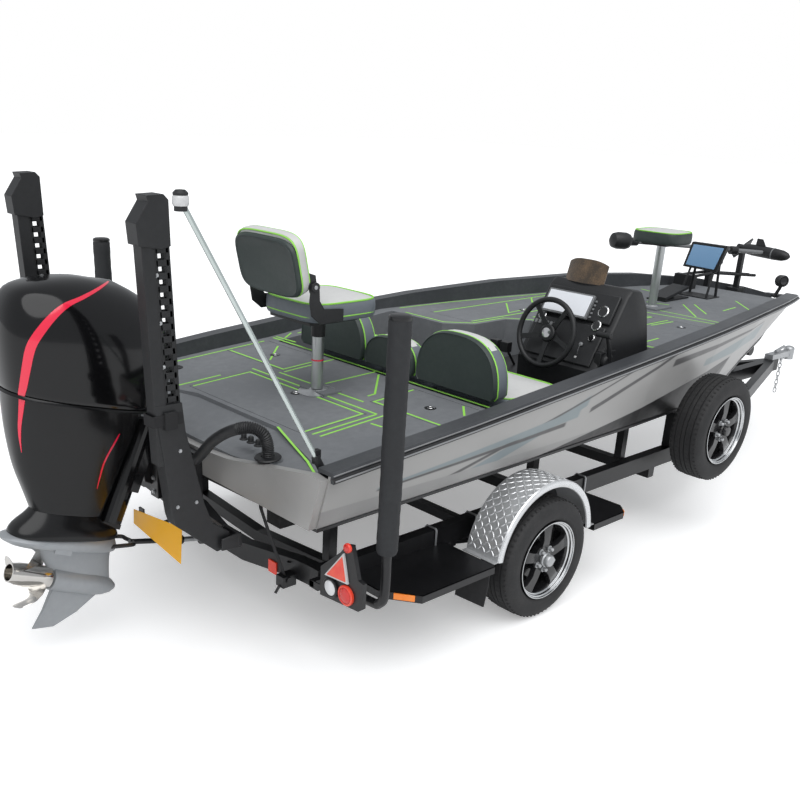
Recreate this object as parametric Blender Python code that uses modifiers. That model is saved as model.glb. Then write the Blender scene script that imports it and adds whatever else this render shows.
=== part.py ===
"""An aluminium bass boat standing on its single-axle road trailer.

Units are metres, +X towards the bow, +Y to port, +Z up, ground at z = 0.
Sizes are taken in boat coordinates, where x = 0 is the transom; one empty
then carries everything so that the origin lies under the middle of the box.
"""

import math

import bpy
import bmesh
from mathutils import Matrix, Vector

# Overall place of the finished object
ORIGIN_X = 2.7053

# Clearances
FIT = 0.0004
SEAT = 0.0006
RUNNING = 0.006

# Hull form, one row for each section
STATIONS = [
    # x, gunwale half beam, gunwale height, chine half beam, chine height, keel height
    (0.00, 1.040, 1.062, 0.965, 0.788, 0.745),
    (0.80, 1.062, 1.130, 0.965, 0.798, 0.720),
    (1.60, 1.055, 1.192, 0.950, 0.800, 0.690),
    (2.40, 1.018, 1.238, 0.905, 0.785, 0.645),
    (3.20, 0.938, 1.266, 0.800, 0.745, 0.600),
    (4.00, 0.800, 1.272, 0.585, 0.735, 0.560),
    (4.60, 0.650, 1.250, 0.380, 0.740, 0.580),
    (5.20, 0.440, 1.195, 0.230, 0.810, 0.700),
    (5.60, 0.260, 1.125, 0.120, 0.905, 0.840),
    (5.85, 0.130, 1.060, 0.060, 0.985, 0.950),
]
SIDE_THICKNESS = 0.014
CHINE_LIP = 0.030
CHINE_DEPTH = 0.014
CAP_WIDTH = 0.078
CAP_THICKNESS = 0.018
RUB_DEPTH = 0.045
RUB_WIDTH = 0.018
LINER_THICKNESS = 0.012
LINER_SLOPE = 0.008
FLOOR_HEIGHT = 0.850

# Decks
REAR_DECK_BASE = 0.995
REAR_DECK_SLOPE = 0.062
REAR_DECK_END = 1.170
FRONT_DECK_HEIGHT = 1.155
FRONT_DECK_END = 5.100
NOSE_DECK_DROP = 0.130
LID_THICKNESS = 0.022
LID_GAP = 0.004
POCKET_FLOOR = 0.875
POCKET_LEDGE = 0.020
REAR_SEAT_X, REAR_SEAT_Y = 0.736, -0.050
BOW_SEAT = (3.860, -0.020)
SOCKET_HEIGHT = 0.012

# Hatches: name, low x, high x, low y, high y, hinge side
REAR_HATCHES = [
    ("lid_rear_centre", 0.300, 0.690, -0.480, 0.470, "aft"),
    ("lid_rear_port", 0.830, 1.130, 0.360, 0.900, "port"),
    ("lid_rear_starboard", 0.830, 1.130, -0.900, -0.360, "starboard"),
]
FRONT_HATCHES = [
    ("lid_rod_locker", 2.330, 3.720, 0.330, 0.700, "port"),
    ("lid_front_centre", 2.800, 3.560, -0.230, 0.230, "aft"),
    ("lid_front_starboard", 2.780, 3.560, -0.740, -0.330, "starboard"),
]

# Trailer
WHEEL_X = 1.368
WHEEL_RADIUS = 0.320
WHEEL_LIP_Y = 1.158
TYRE_WIDTH = 0.205
WHEEL_STEPS = 36
RIM_RADIUS = 0.2075
RIM_BED_RADIUS = 0.193
RIM_CENTRE_Y = WHEEL_LIP_Y - 0.100
RAIL_Y = 0.770
RAIL_WIDTH = 0.060
RAIL_TOP = 0.485
RAIL_HEIGHT = 0.100
RAIL_AFT = 0.150
RAIL_BEND = 3.550
RAIL_MEET = 6.000
DRAWBAR_WIDTH = 0.080
DRAWBAR_AFT = 4.700
DRAWBAR_FORE = 6.050
BUNK_Y = 0.560
BUNK_WIDTH = 0.100
BUNK_THICKNESS = 0.050
BUNK_AFT = 0.080
BUNK_FORE = 2.950
CROSS_X = [0.420, 1.950, 2.850]
SPARE_X = 3.052
SPARE_LIP_Y = 1.129
SPARE_Z = 0.681
GUIDE_X = 0.2005
LAMP_X = 0.080
GUIDE_Y = 1.1766
GUIDE_TOP = 1.687
GUIDE_BASE = 0.7075
SLEEVE_RADIUS = 0.046
GUIDE_TUBE_RADIUS = 0.021
JACK_X = 5.620
JACK_Y = 0.205

# Outboard engine, upright in its own frame: u forward, w up, from the tilt pivot
TILT_PIVOT = (-0.200, 0.0, 1.000)
REST_TILT = 24.2
STEER_U = -0.055
PROP_W = -0.771
PLATE_W = -0.600

# Colours and finishes: base colour, roughness, metallic
FINISHES = {
    "black_paint": ((0.020, 0.021, 0.023), 0.45, 0.0),
    "hull_black": ((0.018, 0.019, 0.021), 0.35, 0.0),
    "silver_side": ((0.420, 0.420, 0.410), 0.32, 0.6),
    "gunwale_grey": ((0.100, 0.105, 0.115), 0.55, 0.0),
    "deck_foam": ((0.210, 0.215, 0.220), 0.90, 0.0),
    "well_grip": ((0.070, 0.072, 0.076), 0.85, 0.0),
    "gloss_cowl": ((0.012, 0.012, 0.013), 0.12, 0.0),
    "leg_silver": ((0.260, 0.270, 0.280), 0.35, 0.7),
    "stainless": ((0.600, 0.600, 0.590), 0.20, 1.0),
    "zinc": ((0.550, 0.560, 0.570), 0.40, 0.9),
    "chequer_aluminium": ((0.600, 0.610, 0.620), 0.35, 0.9),
    "tyre_rubber": ((0.030, 0.030, 0.031), 0.85, 0.0),
    "seat_vinyl": ((0.130, 0.145, 0.140), 0.55, 0.0),
    "seat_grey": ((0.330, 0.350, 0.370), 0.55, 0.0),
    "moulded_black": ((0.025, 0.026, 0.028), 0.50, 0.0),
    "bronze_screen": ((0.200, 0.130, 0.060), 0.10, 0.0),
    "bunk_carpet": ((0.020, 0.020, 0.020), 0.95, 0.0),
}

bpy_objects = bpy.data.objects


def clear_scene():
    """Empty the file, so that the model stands alone."""
    for item in list(bpy.data.objects):
        bpy.data.objects.remove(item, do_unlink=True)


def new_collection(name, hidden=False):
    group = bpy.data.collections.new(name)
    bpy.context.scene.collection.children.link(group)
    group.hide_render = hidden
    return group


clear_scene()
PARTS = new_collection("bass_boat")
CUTTERS = new_collection("cutters", hidden=True)
BOAT = bpy.data.objects.new("boat_origin", None)
PARTS.objects.link(BOAT)
BOAT.location = (-ORIGIN_X, 0.0, 0.0)


# Making shapes


def from_bmesh(mesh_data, name="shape"):
    """A bmesh made an object in the cutters' collection, facing out."""
    bmesh.ops.recalc_face_normals(mesh_data, faces=mesh_data.faces)
    mesh = bpy.data.meshes.new(name)
    mesh_data.to_mesh(mesh)
    mesh_data.free()
    obj = bpy.data.objects.new(name, mesh)
    CUTTERS.objects.link(obj)
    return obj


def settled(obj):
    """The object's curve or modifiers made a plain welded mesh."""
    bpy.context.view_layer.update()
    graph = bpy.context.evaluated_depsgraph_get()
    mesh = bpy.data.meshes.new_from_object(obj.evaluated_get(graph))
    mesh.transform(obj.matrix_world)
    made = bmesh.new()
    made.from_mesh(mesh)
    bmesh.ops.remove_doubles(made, verts=made.verts, dist=0.00002)
    bpy.data.meshes.remove(mesh)
    bpy.data.objects.remove(obj, do_unlink=True)
    return from_bmesh(made)


def box(low, high):
    """A rectangular block between two corners."""
    made = bmesh.new()
    bmesh.ops.create_cube(made, size=1.0)
    size = Vector(high) - Vector(low)
    middle = (Vector(high) + Vector(low)) / 2
    bmesh.ops.scale(made, verts=made.verts, vec=size)
    bmesh.ops.translate(made, verts=made.verts, vec=middle)
    return from_bmesh(made)


def rod(start, end, radius, end_radius=None, sides=20):
    """A round bar or cone between two points."""
    start, end = Vector(start), Vector(end)
    axis = end - start
    made = bmesh.new()
    bmesh.ops.create_cone(
        made, cap_ends=True, segments=sides, radius1=radius,
        radius2=radius if end_radius is None else end_radius, depth=axis.length,
    )
    turn = axis.to_track_quat("Z", "Y").to_matrix().to_4x4()
    made.transform(Matrix.Translation((start + end) / 2) @ turn)
    return from_bmesh(made)


def ball(centre, radius, stretch=(1, 1, 1), segments=20, rings=12):
    """A sphere or an ellipsoid."""
    made = bmesh.new()
    bmesh.ops.create_uvsphere(made, u_segments=segments, v_segments=rings, radius=radius)
    bmesh.ops.scale(made, verts=made.verts, vec=stretch)
    bmesh.ops.translate(made, verts=made.verts, vec=centre)
    return from_bmesh(made)


PLANES = {
    # The two directions that an outline's numbers run along, and the thickness direction
    "xy": ((1, 0, 0), (0, 1, 0), (0, 0, 1)),
    "xz": ((1, 0, 0), (0, 0, 1), (0, -1, 0)),
    "yz": ((0, 1, 0), (0, 0, 1), (1, 0, 0)),
}


def plate(points, plane, low, high):
    """A flat outline in the xy, xz or yz plane, thick from low to high on the third axis."""
    across, up, out = (Vector(v) for v in PLANES[plane])
    curve = bpy.data.curves.new("outline", "CURVE")
    curve.dimensions = "2D"
    curve.fill_mode = "BOTH"
    curve.extrude = (high - low) / 2
    spline = curve.splines.new("POLY")
    spline.points.add(len(points) - 1)
    for point, (a, b) in zip(spline.points, points):
        point.co = (a, b, 0.0, 1.0)
    spline.use_cyclic_u = True
    obj = bpy.data.objects.new("outline", curve)
    CUTTERS.objects.link(obj)
    middle = (low + high) / 2
    if plane == "xz":
        middle = -middle
    obj.matrix_world = Matrix((
        (across.x, up.x, out.x, out.x * middle),
        (across.y, up.y, out.y, out.y * middle),
        (across.z, up.z, out.z, out.z * middle),
        (0, 0, 0, 1),
    ))
    return settled(obj)


def smooth_points(points, count):
    """Points at even steps of a smooth curve through the given ones."""
    control = [Vector(p) for p in points]
    control = [2 * control[0] - control[1]] + control + [2 * control[-1] - control[-2]]
    spans = len(control) - 3
    found = []
    for step in range(count):
        place = spans * step / (count - 1)
        span = min(int(place), spans - 1)
        t = place - span
        a, b, c, d = control[span:span + 4]
        found.append(0.5 * (
            2 * b + (c - a) * t + (2 * a - 5 * b + 4 * c - d) * t * t
            + (3 * b - a - 3 * c + d) * t ** 3
        ))
    return found


def tube_curve(name, points, radius, resolution):
    """A tube along the points, as a curve with filled caps."""
    curve = bpy.data.curves.new(name, "CURVE")
    curve.dimensions = "3D"
    curve.bevel_depth = radius
    curve.bevel_resolution = resolution
    curve.use_fill_caps = True
    spline = curve.splines.new("POLY")
    spline.points.add(len(points) - 1)
    for point, place in zip(spline.points, points):
        point.co = (*place, 1.0)
    obj = bpy.data.objects.new(name, curve)
    CUTTERS.objects.link(obj)
    return obj


def tube(points, radius, resolution=3, closed=False):
    """A bent round tube as a mesh."""
    obj = tube_curve("tube", points, radius, resolution)
    obj.data.splines[0].use_cyclic_u = closed
    return settled(obj)


def turned(profile, centre, direction, steps=48):
    """A profile of (radius, height) pairs, top to bottom, turned about an axis."""
    mesh = bpy.data.meshes.new("profile")
    points = [(radius, 0.0, height) for radius, height in profile]
    edges = [(i, i + 1) for i in range(len(points) - 1)]
    mesh.from_pydata(points, edges, [])
    obj = bpy.data.objects.new("profile", mesh)
    CUTTERS.objects.link(obj)
    screw = obj.modifiers.new("turn", "SCREW")
    screw.steps = steps
    screw.render_steps = steps
    screw.use_merge_vertices = True
    screw.merge_threshold = 0.0001
    turn = Vector(direction).to_track_quat("Z", "Y").to_matrix().to_4x4()
    obj.matrix_world = Matrix.Translation(centre) @ turn
    return settled(obj)


def ring_profile(points):
    """A closed profile for a ring: the first point is repeated at the end."""
    return list(points) + [points[0]]


def loft(sections):
    """A solid through closed sections that all have the same number of points."""
    made = bmesh.new()
    rows = [[made.verts.new(point) for point in section] for section in sections]
    count = len(rows[0])
    for first, second in zip(rows, rows[1:]):
        for i in range(count):
            j = (i + 1) % count
            made.faces.new((first[i], first[j], second[j], second[i]))
    made.faces.new(rows[0])
    made.faces.new(reversed(rows[-1]))
    bmesh.ops.triangulate(made, faces=made.faces)
    return from_bmesh(made)


def gathered(target, others, operation):
    """The target joined with, or cut by, every shape in the list."""
    if not others:
        return target
    group = bpy.data.collections.new("tools")
    bpy.context.scene.collection.children.link(group)
    for other in others:
        group.objects.link(other)
    boolean = target.modifiers.new(operation.lower(), "BOOLEAN")
    boolean.operation = operation
    boolean.solver = "EXACT"
    boolean.operand_type = "COLLECTION"
    boolean.collection = group
    made = settled(target)
    for other in others:
        bpy.data.objects.remove(other, do_unlink=True)
    bpy.data.collections.remove(group)
    return made


def fused(*shapes):
    return gathered(shapes[0], list(shapes[1:]), "UNION")


def cut(target, *cutters):
    return gathered(target, list(cutters), "DIFFERENCE")


def mirrored(shape):
    """The same shape on the other side of the boat."""
    made = bmesh.new()
    made.from_mesh(shape.data)
    bmesh.ops.scale(made, verts=made.verts, vec=(1, -1, 1))
    return from_bmesh(made)


def copied(shape):
    made = bmesh.new()
    made.from_mesh(shape.data)
    return from_bmesh(made)


def moved(shape, matrix):
    shape.data.transform(matrix)
    return shape


def material_of(name, finish):
    colour, roughness, metallic = FINISHES[finish]
    material = bpy.data.materials.new(name + "_finish")
    material.use_nodes = True
    shader = material.node_tree.nodes["Principled BSDF"]
    shader.inputs["Base Color"].default_value = (*colour, 1.0)
    shader.inputs["Roughness"].default_value = roughness
    shader.inputs["Metallic"].default_value = metallic
    material.diffuse_color = (*colour, 1.0)
    return material


def part(name, shape, finish, carrier=None, smooth=True):
    """Name a shape, give it its finish and hang it on what carries it."""
    shape.name = name
    shape.data.name = name
    CUTTERS.objects.unlink(shape)
    PARTS.objects.link(shape)
    if shape.type == "MESH":
        shape.data.materials.clear()
    shape.data.materials.append(material_of(name, finish))
    if smooth and shape.type == "MESH":
        shape.data.shade_smooth()
        shape.data.set_sharp_from_angle(angle=math.radians(35))
    carrier = carrier or BOAT
    shape.parent = carrier
    if carrier is not BOAT:
        place = PIVOT_PLACES[carrier.name]
        shape.data.transform(place.inverted())
    return shape


PIVOT_PLACES = {BOAT.name: Matrix.Identity(4)}


def pivot(name, place, carrier=None):
    """An empty on a joint's axis, which carries the moving pieces."""
    carrier = carrier or BOAT
    empty = bpy.data.objects.new(name, None)
    empty.empty_display_size = 0.1
    PARTS.objects.link(empty)
    whole = Matrix.Translation(Vector(place))
    PIVOT_PLACES[name] = whole
    empty.parent = carrier
    empty.matrix_local = PIVOT_PLACES[carrier.name].inverted() @ whole
    return empty


# Hull form


def station_at(x):
    """Gunwale half beam and height, chine half beam and height, keel height at a place along the hull."""
    for low, high in zip(STATIONS, STATIONS[1:]):
        if x <= high[0]:
            break
    t = (x - low[0]) / (high[0] - low[0])
    return [a + (b - a) * t for a, b in zip(low[1:], high[1:])]


def side_half_beam(x, z):
    """Half beam of the side plate's inner face at a height."""
    gun_y, gun_z, chine_y, chine_z, _ = station_at(x)
    t = (z - chine_z) / (gun_z - CAP_THICKNESS - chine_z)
    return chine_y + (gun_y - chine_y) * t - SIDE_THICKNESS - 0.004


def liner_half_beam(x, z):
    """Half beam of the inner face of the gunwale's liner at a height."""
    gun_y, gun_z, _, _, _ = station_at(x)
    return gun_y - CAP_WIDTH - LINER_SLOPE


def deck_height(x):
    if x <= REAR_DECK_END:
        return REAR_DECK_BASE + REAR_DECK_SLOPE * x
    if x < 2.10:
        start = REAR_DECK_BASE + REAR_DECK_SLOPE * REAR_DECK_END
        return start + (FRONT_DECK_HEIGHT - start) * (x - REAR_DECK_END) / (2.10 - REAR_DECK_END)
    if x <= FRONT_DECK_END:
        return FRONT_DECK_HEIGHT
    return FRONT_DECK_HEIGHT - NOSE_DECK_DROP * (x - FRONT_DECK_END) / (5.85 - FRONT_DECK_END)


def floor_height(x, chine_z):
    return max(FLOOR_HEIGHT, chine_z + 0.020)


def hull_stations(*extra):
    """The places of the sections, with any extra ones, in order."""
    return sorted({row[0] for row in STATIONS} | set(extra))


def make_hull_bottom():
    sections = []
    for x, _, _, chine_y, chine_z, keel_z in STATIONS:
        inner = chine_y - CHINE_LIP
        top = floor_height(x, chine_z)
        half = [(chine_y, chine_z - CHINE_DEPTH), (chine_y, chine_z), (inner, chine_z), (inner, top)]
        loop = [(0.0, keel_z)] + half + [(-y, z) for y, z in reversed(half)]
        sections.append([(x, y, z) for y, z in loop])
    return loft(sections)


def side_section(x, gun_y, gun_z, chine_y, chine_z):
    base = chine_z + SEAT
    top = gun_z - CAP_THICKNESS - SEAT
    outer_base = chine_y - 0.004
    outer_top = gun_y - SEAT
    return [
        (x, outer_base, base), (x, outer_top, top),
        (x, outer_top - SIDE_THICKNESS, top), (x, outer_base - SIDE_THICKNESS, base),
    ]


def make_hull_side():
    """The port side plate, from the chine up to the gunwale cap."""
    return loft([side_section(*row[:5]) for row in STATIONS])


def gunwale_section(x):
    gun_y, gun_z, _, _, _ = station_at(x)
    deck = deck_height(x) + SEAT
    inner = gun_y - CAP_WIDTH
    return [
        (x, gun_y + RUB_WIDTH, gun_z - RUB_DEPTH),
        (x, gun_y + RUB_WIDTH, gun_z - 0.008),
        (x, gun_y + 0.008, gun_z),
        (x, inner, gun_z),
        (x, inner - LINER_SLOPE, deck),
        (x, inner - LINER_SLOPE + LINER_THICKNESS, deck),
        (x, inner + LINER_THICKNESS, gun_z - CAP_THICKNESS),
        (x, gun_y, gun_z - CAP_THICKNESS),
        (x, gun_y, gun_z - RUB_DEPTH),
    ]


def make_gunwale():
    """Cap, rub rail and inner liner on both sides, closed by the bow cap."""
    port = loft([gunwale_section(x) for x in hull_stations(REAR_DECK_END, 2.10, FRONT_DECK_END)])
    last_x, last_y, last_z = STATIONS[-1][0], STATIONS[-1][1], STATIONS[-1][2]
    nose = plate(
        [(last_x + SEAT, last_y + RUB_WIDTH), (last_x + 0.060, last_y - 0.020),
         (last_x + 0.085, 0.0), (last_x + 0.060, -last_y + 0.020),
         (last_x + SEAT, -last_y - RUB_WIDTH)],
        "xy", last_z - RUB_DEPTH + 0.020, last_z,
    )
    top = box((last_x - 0.004, -last_y - 0.010, last_z - CAP_THICKNESS + 0.002), (last_x + 0.020, last_y + 0.010, last_z))
    return fused(port, mirrored_copy(port), nose, top)


def mirrored_copy(shape):
    made = mirrored(shape)
    return made


def make_transom():
    """The transom plate, with the sloped motor well ahead of it."""
    thickness = 0.040
    low = 0.765
    outline = [
        (0.955, low + 0.025), (1.026, 1.030), (0.960, 1.038), (0.380, 0.930), (0.185, 0.915),
    ]
    points = outline + [(-y, z) for y, z in reversed(outline)]
    board = plate(points, "yz", -thickness, -SEAT)
    return board


WELL_EDGE = [
    # y, forward end of the motor well
    (0.930, 0.020), (0.759, 0.125), (0.335, 0.267), (-0.335, 0.267), (-0.759, 0.125), (-0.930, 0.020),
]


def make_rear_deck():
    """The rear deck as one block with its compartments and the motor well cut in."""
    sections = []
    for x in (0.0, 0.8, REAR_DECK_END):
        top = deck_height(x)
        _, _, chine_y, chine_z, _ = station_at(x)
        low_y = side_half_beam(x, FLOOR_HEIGHT) - 0.002
        high_y = side_half_beam(x, top) - 0.004
        base = FLOOR_HEIGHT + SEAT
        sections.append([
            (x + FIT, low_y, base), (x + FIT, high_y, top), (x + FIT, -high_y, top), (x + FIT, -low_y, base),
        ])
    block = loft(sections)
    well = [
        [(-0.1, 0.93, 1.2), (-0.1, 0.93, 1.010), (0.020, 0.93, 0.996), (0.020, 0.93, 1.2)],
        [(-0.1, 0.76, 1.2), (-0.1, 0.76, 0.990), (0.125, 0.76, 0.998), (0.125, 0.76, 1.2)],
        [(-0.1, 0.34, 1.2), (-0.1, 0.34, 0.910), (0.267, 0.34, 0.990), (0.267, 0.34, 1.2)],
        [(-0.1, -0.34, 1.2), (-0.1, -0.34, 0.910), (0.267, -0.34, 0.990), (0.267, -0.34, 1.2)],
        [(-0.1, -0.76, 1.2), (-0.1, -0.76, 0.990), (0.125, -0.76, 0.998), (0.125, -0.76, 1.2)],
        [(-0.1, -0.93, 1.2), (-0.1, -0.93, 1.010), (0.020, -0.93, 0.996), (0.020, -0.93, 1.2)],
    ]
    cutters = [loft(well)]
    for row in REAR_HATCHES:
        cutters += hatch_cutters(*row[1:5])
    x, y, top = REAR_SEAT_X, REAR_SEAT_Y, deck_height(REAR_SEAT_X)
    foot = box((x - 0.034, y - 0.100, top - 0.010), (x + 0.082, y + 0.100, top + SOCKET_HEIGHT))
    x, y, top = HOSE_FLANGE
    flange = box((FIT, y - 0.050, top - 0.040), (x + 0.042, y + 0.050, top))
    return fused(cut(block, *cutters), foot, flange)


def hatch_cutters(low_x, high_x, low_y, high_y):
    """The compartment under a lid and the ledge that the lid sits on."""
    tall = 1.5
    ledge = [(low_x - LID_GAP, low_y - LID_GAP), (high_x + LID_GAP, low_y - LID_GAP),
             (high_x + LID_GAP, high_y + LID_GAP), (low_x - LID_GAP, high_y + LID_GAP)]
    drop = LID_THICKNESS + SEAT
    under = loft([
        [(x, y, deck_height(x) - drop) for x, y in ledge],
        [(x, y, tall) for x, y in ledge],
    ])
    pocket = box(
        (low_x + POCKET_LEDGE, low_y + POCKET_LEDGE, POCKET_FLOOR),
        (high_x - POCKET_LEDGE, high_y - POCKET_LEDGE, tall),
    )
    return [under, pocket]


def make_lid(low_x, high_x, low_y, high_y):
    """A lid flush with the deck round it."""
    corners = [(low_x, low_y), (high_x, low_y), (high_x, high_y), (low_x, high_y)]
    return loft([
        [(x, y, deck_height(x) - LID_THICKNESS) for x, y in corners],
        [(x, y, deck_height(x)) for x, y in corners],
    ])


FRONT_DECK_X = [REAR_DECK_END + 0.002, 1.6, 2.1, 2.4, 3.2, 4.0, 4.6, FRONT_DECK_END, 5.2, 5.6, 5.83]
STRIP_INNER_Y = 0.860


def front_half_beam(x, z):
    return side_half_beam(x, z) - 0.004


def make_front_deck():
    """The front deck block with its compartments, and the side strips beside the cockpit."""
    base_gap = SEAT
    sections = []
    for x in FRONT_DECK_X:
        top = deck_height(x)
        _, _, chine_y, chine_z, _ = station_at(x)
        low = floor_height(x, chine_z) + base_gap
        if x > FRONT_DECK_END:
            low = max(low, floor_height(5.2, station_at(5.2)[3]) + base_gap)
        low = max(low, floor_between(x) + base_gap)
        low_y = front_half_beam(x, low) - 0.004
        high_y = front_half_beam(x, top) - 0.006
        sections.append([(x, low_y, low), (x, high_y, top), (x, -high_y, top), (x, -low_y, low)])
    block = loft(sections)
    tall = 1.5
    cockpit_outline = [
        (1.0, STRIP_INNER_Y), (2.130, STRIP_INNER_Y), (2.130, 0.400), (2.290, 0.265), (2.590, 0.265),
        (2.700, 0.150), (2.700, -STRIP_INNER_Y), (1.0, -STRIP_INNER_Y),
    ]
    cutters = [plate(cockpit_outline, "xy", 0.8, tall)]
    for row in FRONT_HATCHES:
        cutters += hatch_cutters(*row[1:5])
    x, y = BOW_SEAT
    foot = box((x - 0.100, y - 0.100, FRONT_DECK_HEIGHT - 0.010), (x + 0.100, y + 0.100, FRONT_DECK_HEIGHT + SOCKET_HEIGHT))
    return fused(cut(block, *cutters), foot)


def floor_between(x):
    """Height of the hull bottom's top face between its sections."""
    for low, high in zip(STATIONS, STATIONS[1:]):
        if x <= high[0]:
            break
    t = (x - low[0]) / (high[0] - low[0])
    start = floor_height(low[0], low[4])
    end = floor_height(high[0], high[4])
    return start + (end - start) * t


# Trailer pieces


def make_rail():
    """The port rail, bent in to the drawbar."""
    half = RAIL_WIDTH / 2
    run = RAIL_MEET - RAIL_BEND
    angle = math.atan2(RAIL_Y, run)
    shift = half * math.tan(angle / 2)
    away = half / math.cos(angle)
    outline = [
        (RAIL_AFT, RAIL_Y - half), (RAIL_AFT, RAIL_Y + half), (RAIL_BEND + shift, RAIL_Y + half),
        (RAIL_MEET, away), (RAIL_MEET, -away), (RAIL_BEND - shift, RAIL_Y - half),
    ]
    rail = plate(outline, "xy", RAIL_TOP - RAIL_HEIGHT, RAIL_TOP)
    clear = DRAWBAR_WIDTH / 2 + SEAT
    return cut(rail, box((RAIL_BEND, -1.0, 0.2), (RAIL_MEET + 1.0, clear, 0.8)))


def make_spare_bracket():
    """The arm on the starboard rail that carries the spare wheel."""
    inner = SPARE_LIP_Y - 0.180 - SEAT
    arm = box((SPARE_X - 0.030, -inner, SPARE_Z - 0.030), (SPARE_X + 0.030, -RAIL_Y - 0.010, SPARE_Z + 0.030))
    post = box((SPARE_X - 0.030, -RAIL_Y - 0.029, RAIL_TOP - 0.020), (SPARE_X + 0.030, -RAIL_Y + 0.029, SPARE_Z + 0.030))
    disc = rod((SPARE_X, -inner, SPARE_Z), (SPARE_X, -inner + 0.016, SPARE_Z), 0.080)
    return [arm, post, disc]


def make_drawbar():
    half = DRAWBAR_WIDTH / 2
    bar = box((DRAWBAR_AFT, -half, RAIL_TOP - RAIL_HEIGHT), (DRAWBAR_FORE, half, RAIL_TOP))
    foot = box((5.10, -0.070, RAIL_TOP - 0.004), (5.34, 0.070, RAIL_TOP + 0.014))
    post = plate([(5.14, 0.49), (5.24, 0.49), (5.47, 0.690), (5.39, 0.690)], "xz", -0.030, 0.030)
    winch = rod((5.46, -0.055, 0.640), (5.46, 0.055, 0.640), 0.045)
    roller = rod((5.43, -0.045, 0.690), (5.43, 0.045, 0.690), 0.030)
    return fused(bar, foot, post, winch, roller)


def chain_link(centre, turn, half_length=0.022, half_width=0.013, wire=0.0045):
    """One oval link, standing up, turned about its own length."""
    points = []
    for i in range(12):
        angle = 2 * math.pi * i / 12
        lift = (half_length - half_width) * (1 if math.sin(angle) > 0 else -1)
        points.append((half_width * math.cos(angle), 0.0, half_width * math.sin(angle) + lift))
    link = tube(points, wire, 1, closed=True)
    return moved(link, Matrix.Translation(centre) @ Matrix.Rotation(turn, 4, "Z"))


def make_coupler():
    """The ball coupling on the drawbar's end, with the safety chain hanging from it."""
    base = RAIL_TOP + SEAT
    body = box((5.93, -0.038, base), (6.20, 0.038, base + 0.045))
    neck = box((6.17, -0.030, base - 0.010), (6.30, 0.030, base + 0.040))
    cup = rod((6.305, 0, base - 0.040), (6.305, 0, base + 0.050), 0.046)
    dome = ball((6.305, 0, base + 0.050), 0.046, (1, 1, 0.6))
    handle = rod((6.04, 0.0, base + 0.060), (6.19, 0.0, base + 0.085), 0.012)
    stem = box((6.05, -0.010, base + 0.040), (6.08, 0.010, base + 0.068))
    hook = box((6.17, -0.008, base - 0.040), (6.20, 0.008, base + 0.010))
    links = []
    pitch = 0.0378
    for i in range(8):
        links.append(chain_link((6.185, 0.0, base - 0.052 - pitch * i), math.pi / 2 * (i % 2)))
    return fused(body, neck, cup, dome, handle, stem, hook, *links)


def make_cross(x, dropped):
    """A cross member under the rails, with the posts that carry the bunks."""
    top = RAIL_TOP - RAIL_HEIGHT - SEAT
    height = 0.060
    outer = RAIL_Y + 0.030
    if dropped:
        beam = plate(
            [(outer, top), (outer, top - height), (0.0, top - height - 0.060), (-outer, top - height),
             (-outer, top), (0.0, top - 0.060)],
            "yz", x - 0.030, x + 0.030,
        )
    else:
        beam = box((x - 0.030, -outer, top - height), (x + 0.030, outer, top))
    return beam


def bunk_shape():
    """The port bunk: a carpeted board under the hull, cut to the bottom's shape."""
    blank = box(
        (BUNK_AFT, BUNK_Y - BUNK_WIDTH / 2, 0.640), (BUNK_FORE, BUNK_Y + BUNK_WIDTH / 2, 0.790),
    )
    return blank


def make_axle():
    """Square axle beam with its spindles, on two leaf springs under the rails."""
    x, z = WHEEL_X, WHEEL_RADIUS
    half = 0.025
    inner = WHEEL_LIP_Y - TYRE_WIDTH + 0.010
    beam = box((x - half, -inner + 0.012, z - half), (x + half, inner - 0.012, z + half))
    shapes = [beam]
    top = RAIL_TOP - RAIL_HEIGHT - SEAT
    seat = z + half + 0.001
    for side in (-1, 1):
        y = side * RAIL_Y
        spindle = rod((x, side * (inner - 0.030), z), (x, side * (RIM_CENTRE_Y + 0.014), z), 0.020)
        spring = plate(
            [(x - 0.330, top - 0.018), (x - 0.200, seat - 0.006), (x, seat - 0.026), (x + 0.200, seat - 0.006),
             (x + 0.330, top - 0.018), (x + 0.330, top - 0.006), (x, seat), (x - 0.330, top - 0.006)],
            "xz", y - 0.025, y + 0.025,
        )
        shapes += [spindle, spring]
        for end in (-0.325, 0.325):
            shapes.append(box((x + end - 0.020, y - 0.028, top - 0.030), (x + end + 0.020, y + 0.028, top)))
    return fused(*shapes)


TYRE_PROFILE = [
    # radius as a share of the wheel's, place across the tyre from its middle
    (0.650, 0.080), (0.760, 0.098), (0.880, 0.1025), (0.965, 0.090), (0.995, 0.070), (1.000, 0.035),
]


def make_tyre(centre, bead_gap=FIT):
    """A road tyre about the Y axis, its beads on the rim's bed."""
    bead = RIM_BED_RADIUS + bead_gap
    half = [(WHEEL_RADIUS * share, across) for share, across in TYRE_PROFILE]
    profile = half + [(r, -a) for r, a in reversed(half)] + [(bead, -0.076), (bead, 0.076)]
    return turned(ring_profile(profile), centre, (0, 1, 0), WHEEL_STEPS)


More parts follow.
